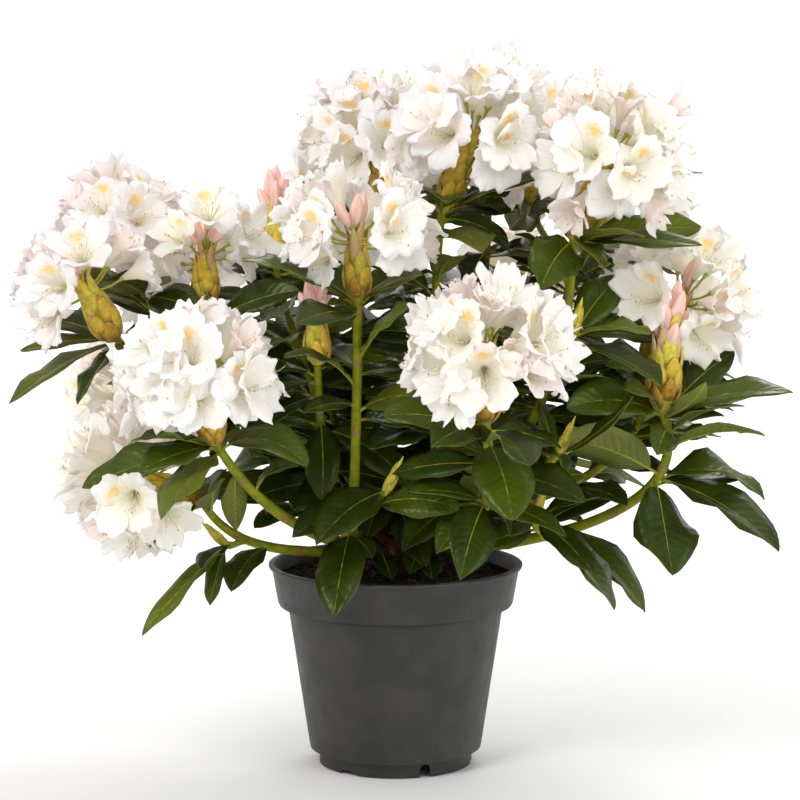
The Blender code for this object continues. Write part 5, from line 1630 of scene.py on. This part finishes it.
# How much of each tone is dealt out, in the light and in the shade of the plant's middle; the darker deal in
# the shade is partly painted shade.
OPEN_TONES = (0.42, 0.36, 0.13, 0.09)
SHADED_TONES = (0.80, 0.16, 0.04, 0.0)
SHADE_BACK = -0.03
SHADE_TOP = 0.42
LEAF_THICKNESS = 0.0005
leaves, petioles = Heap(), Heap()
STALK_SHARES = (0.0, 0.06, 0.12, 0.3, 0.5, 0.7, 0.92)
STALK_RADII = (1.7, 1.45, 1.35, 1.0, 0.75, 0.5, 0.25)
sheet_uvs = [(column, row) for row in LEAF_ROWS for column in (0.0, 0.22, 0.47, 0.53, 0.78, 1.0)]
for shoot, leaf, points in leaf_sheets:
    chance = random.Random(f"tone {shoot} {leaf.bearing:.1f} {leaf.length:.4f}")
    _, depth, height = np.mean(points, axis=0)
    # Leaves in the shaded middle get the darker tones: painted shade, besides the darker green of leaves
    # grown in shade.
    shaded = depth > SHADE_BACK and height < SHADE_TOP
    tone = chance.choices((DEEP, GREEN, OLIVE, YOUNG), SHADED_TONES if shaded else OPEN_TONES)[0]
    leaves.add([tuple(point) for point in points], LEAF_FACES,
               [tone, tone, RIB, tone, tone] * (len(LEAF_ROWS) - 1), sheet_uvs)
    centres = [spot - up * (0.0003 + radius * 0.0007)
               for (spot, side, up), radius in zip(leaf_frames(leaf, STALK_SHARES), STALK_RADII)]
    petioles.add(*tube(centres, [radius / 1000 for radius in STALK_RADII], 5))


def leaf_vein_group():
    """Side veins that slant forward from the midrib: a pale mask and a quilted height."""
    group, _, result = new_group("leaf_veins", {}, {"Mask": "Float", "Height": "Float"})
    along = node(group, "ShaderNodeUVMap", uv_map="along")
    parts = node(group, "ShaderNodeSeparateXYZ", {"Vector": along.outputs["UV"]})
    aside = worked(group, "ABSOLUTE", worked(group, "SUBTRACT", parts.outputs["X"], 0.5))
    place = node(group, "ShaderNodeTexCoord")
    rough = node(group, "ShaderNodeTexNoise", {
        "Vector": place.outputs["Object"], "Scale": 110.0, "Detail": 4.0}).outputs["Fac"]
    slant = worked(group, "MULTIPLY_ADD", aside, -0.40, parts.outputs["Y"])
    slant = worked(group, "MULTIPLY_ADD", rough, 0.045, slant)
    wave = worked(group, "SINE", worked(group, "MULTIPLY", slant, 78.0))
    fade = ranged(group, aside, 0.10, 0.46, 0.42, 0.0)
    mask = worked(group, "MULTIPLY", ranged(group, wave, 0.72, 1.0), fade)
    quilt = worked(group, "MULTIPLY_ADD", wave, -0.10, rough)
    group.links.new(mask, result.inputs["Mask"])
    group.links.new(quilt, result.inputs["Height"])
    return group


VEINS = leaf_vein_group()


def leaf_finish(name, dark, light, roughness, **sockets):
    """A leathery leaf: two close greens in patches, quilted between faint paler side veins."""
    material, tree, shader = finish_of(name, dark, roughness, **sockets)
    drift = mottled(tree, 45.0, 0.32, 0.68, 4.0)
    green = mixed(tree, drift.outputs["Mask"], dark, light)
    veins = node(tree, "ShaderNodeGroup", node_tree=VEINS)
    vein = light[0] * 1.9, light[1] * 1.7, light[2] * 2.5
    two_tone(tree, shader, veins.outputs["Mask"], green, vein)
    bumped(tree, shader, veins.outputs["Height"], 0.0011, 0.65)
    return material


SHEEN = {"Specular_IOR_Level": 0.36, "Specular_Tint": (0.88, 1.0, 0.55, 1)}
MATT = {"Specular_IOR_Level": 0.3}
FRONTS = [
    leaf_finish("leaf_deep", (0.014, 0.026, 0.0016), (0.030, 0.048, 0.0028), 0.34, **SHEEN),
    leaf_finish("leaf_green", (0.034, 0.056, 0.0028), (0.056, 0.084, 0.0044), 0.34, **SHEEN),
    leaf_finish("leaf_olive", (0.056, 0.068, 0.0030), (0.092, 0.102, 0.0056), 0.38, **SHEEN),
    leaf_finish("leaf_young", (0.076, 0.108, 0.0040), (0.116, 0.146, 0.0070), 0.34, **SHEEN),
    leaf_finish("leaf_rib", (0.060, 0.084, 0.006), (0.100, 0.124, 0.011), 0.45),
]
UNDERSIDES = [
    leaf_finish("under_deep", (0.120, 0.150, 0.025), (0.160, 0.185, 0.032), 0.65, **MATT),
    leaf_finish("under_green", (0.145, 0.175, 0.026), (0.190, 0.215, 0.036), 0.65, **MATT),
    leaf_finish("under_olive", (0.190, 0.190, 0.028), (0.240, 0.230, 0.038), 0.65, **MATT),
    leaf_finish("under_young", (0.200, 0.230, 0.030), (0.250, 0.270, 0.042), 0.65, **MATT),
    leaf_finish("under_rib", (0.26, 0.28, 0.05), (0.34, 0.34, 0.07), 0.55),
]
MARGINS = [leaf_finish("leaf_margin", (0.10, 0.13, 0.012), (0.17, 0.19, 0.020), 0.5)] * len(FRONTS)
leaf_piece = leaves.joined("leaves", [*FRONTS, *UNDERSIDES, *MARGINS])
finish_with(leaf_piece, "SOLIDIFY", thickness=LEAF_THICKNESS, offset=-1.0,
            material_offset=len(FRONTS), material_offset_rim=2 * len(FRONTS))
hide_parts(*("mass_" + name for name in LIMBS))
petiole_piece = petioles.joined("leaf_stalks", [
    plain_petal("petiole", (0.24, 0.27, 0.018), (0.38, 0.38, 0.040), 120.0)])

# The studio: a pale paper sweep that curves from the floor up into the backdrop, a broad soft key light from
# the front left, a weaker fill from the right and a strip behind. The camera stands level in front.
SWEEP_BACK = 2.2
SWEEP_BEND = 1.5
SWEEP_DEPTH = 24
SWEEP_WIDTH = 40
SWEEP_STEPS = 24
WALL_RISE = 4
CAMERA_PLACE = (0.004, -2.6, 0.655)
CAMERA_TILT = 82.8
CAMERA_LENS = 132.9
bpy.ops.object.select_all(action="DESELECT")
bpy.ops.mesh.primitive_plane_add(size=1, location=(0, SWEEP_BACK - SWEEP_DEPTH / 2, -0.0005))
floor = bpy.context.object
floor.name = "studio_floor"
floor.scale = (SWEEP_WIDTH, SWEEP_DEPTH, 1)
bpy.ops.object.transform_apply(location=True, rotation=True, scale=True)
for sweep_edge in floor.data.edges:
    sweep_edge.select = all(floor.data.vertices[end].co.y > 0 for end in sweep_edge.vertices)
for vertex in floor.data.vertices:
    vertex.select = vertex.co.y > 0
for face in floor.data.polygons:
    face.select = False
bpy.ops.object.mode_set(mode="EDIT")
bpy.ops.mesh.select_mode(type="EDGE")
bpy.ops.mesh.spin(
    steps=SWEEP_STEPS, angle=math.radians(-90), center=(0, SWEEP_BACK, SWEEP_BEND), axis=(1, 0, 0))
bpy.ops.mesh.extrude_region_move(TRANSFORM_OT_translate={"value": (0, 0, WALL_RISE)})
bpy.ops.mesh.select_all(action="SELECT")
bpy.ops.mesh.remove_doubles(threshold=0.00001)
bpy.ops.mesh.normals_make_consistent(inside=False)
bpy.ops.object.mode_set(mode="OBJECT")
floor.data.shade_smooth()
paper, tree, shader = finish_of("studio_paper", (0.86, 0.86, 0.855), 0.9, Specular_IOR_Level=0.1,
                                Emission_Strength=0.34)
grain = mottled(tree, 3.0, 0.3, 0.7, 3.0)
two_tone(tree, shader, grain.outputs["Mask"], (0.855, 0.855, 0.85), (0.87, 0.87, 0.865))
spot = node(tree, "ShaderNodeTexCoord")
away = node(tree, "ShaderNodeVectorMath", {0: spot.outputs["Object"]}, operation="LENGTH")
lit = ranged(tree, away.outputs["Value"], 0.5, 2.6)
two_tone(tree, shader, lit, (0.0, 0.0, 0.0), (1.0, 1.0, 1.0), "Emission Color")
floor.data.materials.append(paper)


def softbox(name, spot, target, size, power, colour=(1, 1, 1)):
    """A square area light at one point, turned to another."""
    lamp = bpy.data.lights.new(name, "AREA")
    lamp.shape = "SQUARE"
    lamp.size = size
    lamp.energy = power
    lamp.color = colour
    stand = bpy.data.objects.new(name, lamp)
    stand.location = spot
    stand.rotation_euler = (Vector(target) - Vector(spot)).to_track_quat("-Z", "Y").to_euler()
    bpy.context.scene.collection.objects.link(stand)


softbox("key", (-1.5, -2.2, 2.4), (0, 0, 0.35), 1.2, 47, (1.0, 0.985, 0.95))
softbox("fill", (2.2, -1.6, 1.0), (0, 0, 0.3), 1.6, 20, (0.96, 0.98, 1.0))
softbox("back", (0.6, 1.8, 2.2), (0, 0, 0.4), 1.2, 34)
world = bpy.data.worlds.new("studio")
world.use_nodes = True
dim = world.node_tree.nodes["Background"]
dim.inputs["Color"].default_value = (0.99, 0.99, 1.0, 1)
dim.inputs["Strength"].default_value = 0.68
white = node(world.node_tree, "ShaderNodeBackground", {"Color": (0.95, 0.95, 0.95, 1)})
seen = node(world.node_tree, "ShaderNodeLightPath")
sky = node(world.node_tree, "ShaderNodeMixShader", {
    0: seen.outputs["Is Camera Ray"], 1: dim.outputs[0], 2: white.outputs[0]})
world.node_tree.links.new(sky.outputs[0], world.node_tree.nodes["World Output"].inputs["Surface"])
bpy.context.scene.world = world
bpy.context.scene.view_settings.view_transform = "Standard"
camera_data = bpy.data.cameras.new("camera")
camera_data.lens = CAMERA_LENS
camera_data.sensor_width = 36
camera = bpy.data.objects.new("camera", camera_data)
camera.location = CAMERA_PLACE
camera.rotation_euler = (math.radians(CAMERA_TILT), 0, 0)
bpy.context.scene.collection.objects.link(camera)
bpy.context.scene.camera = camera
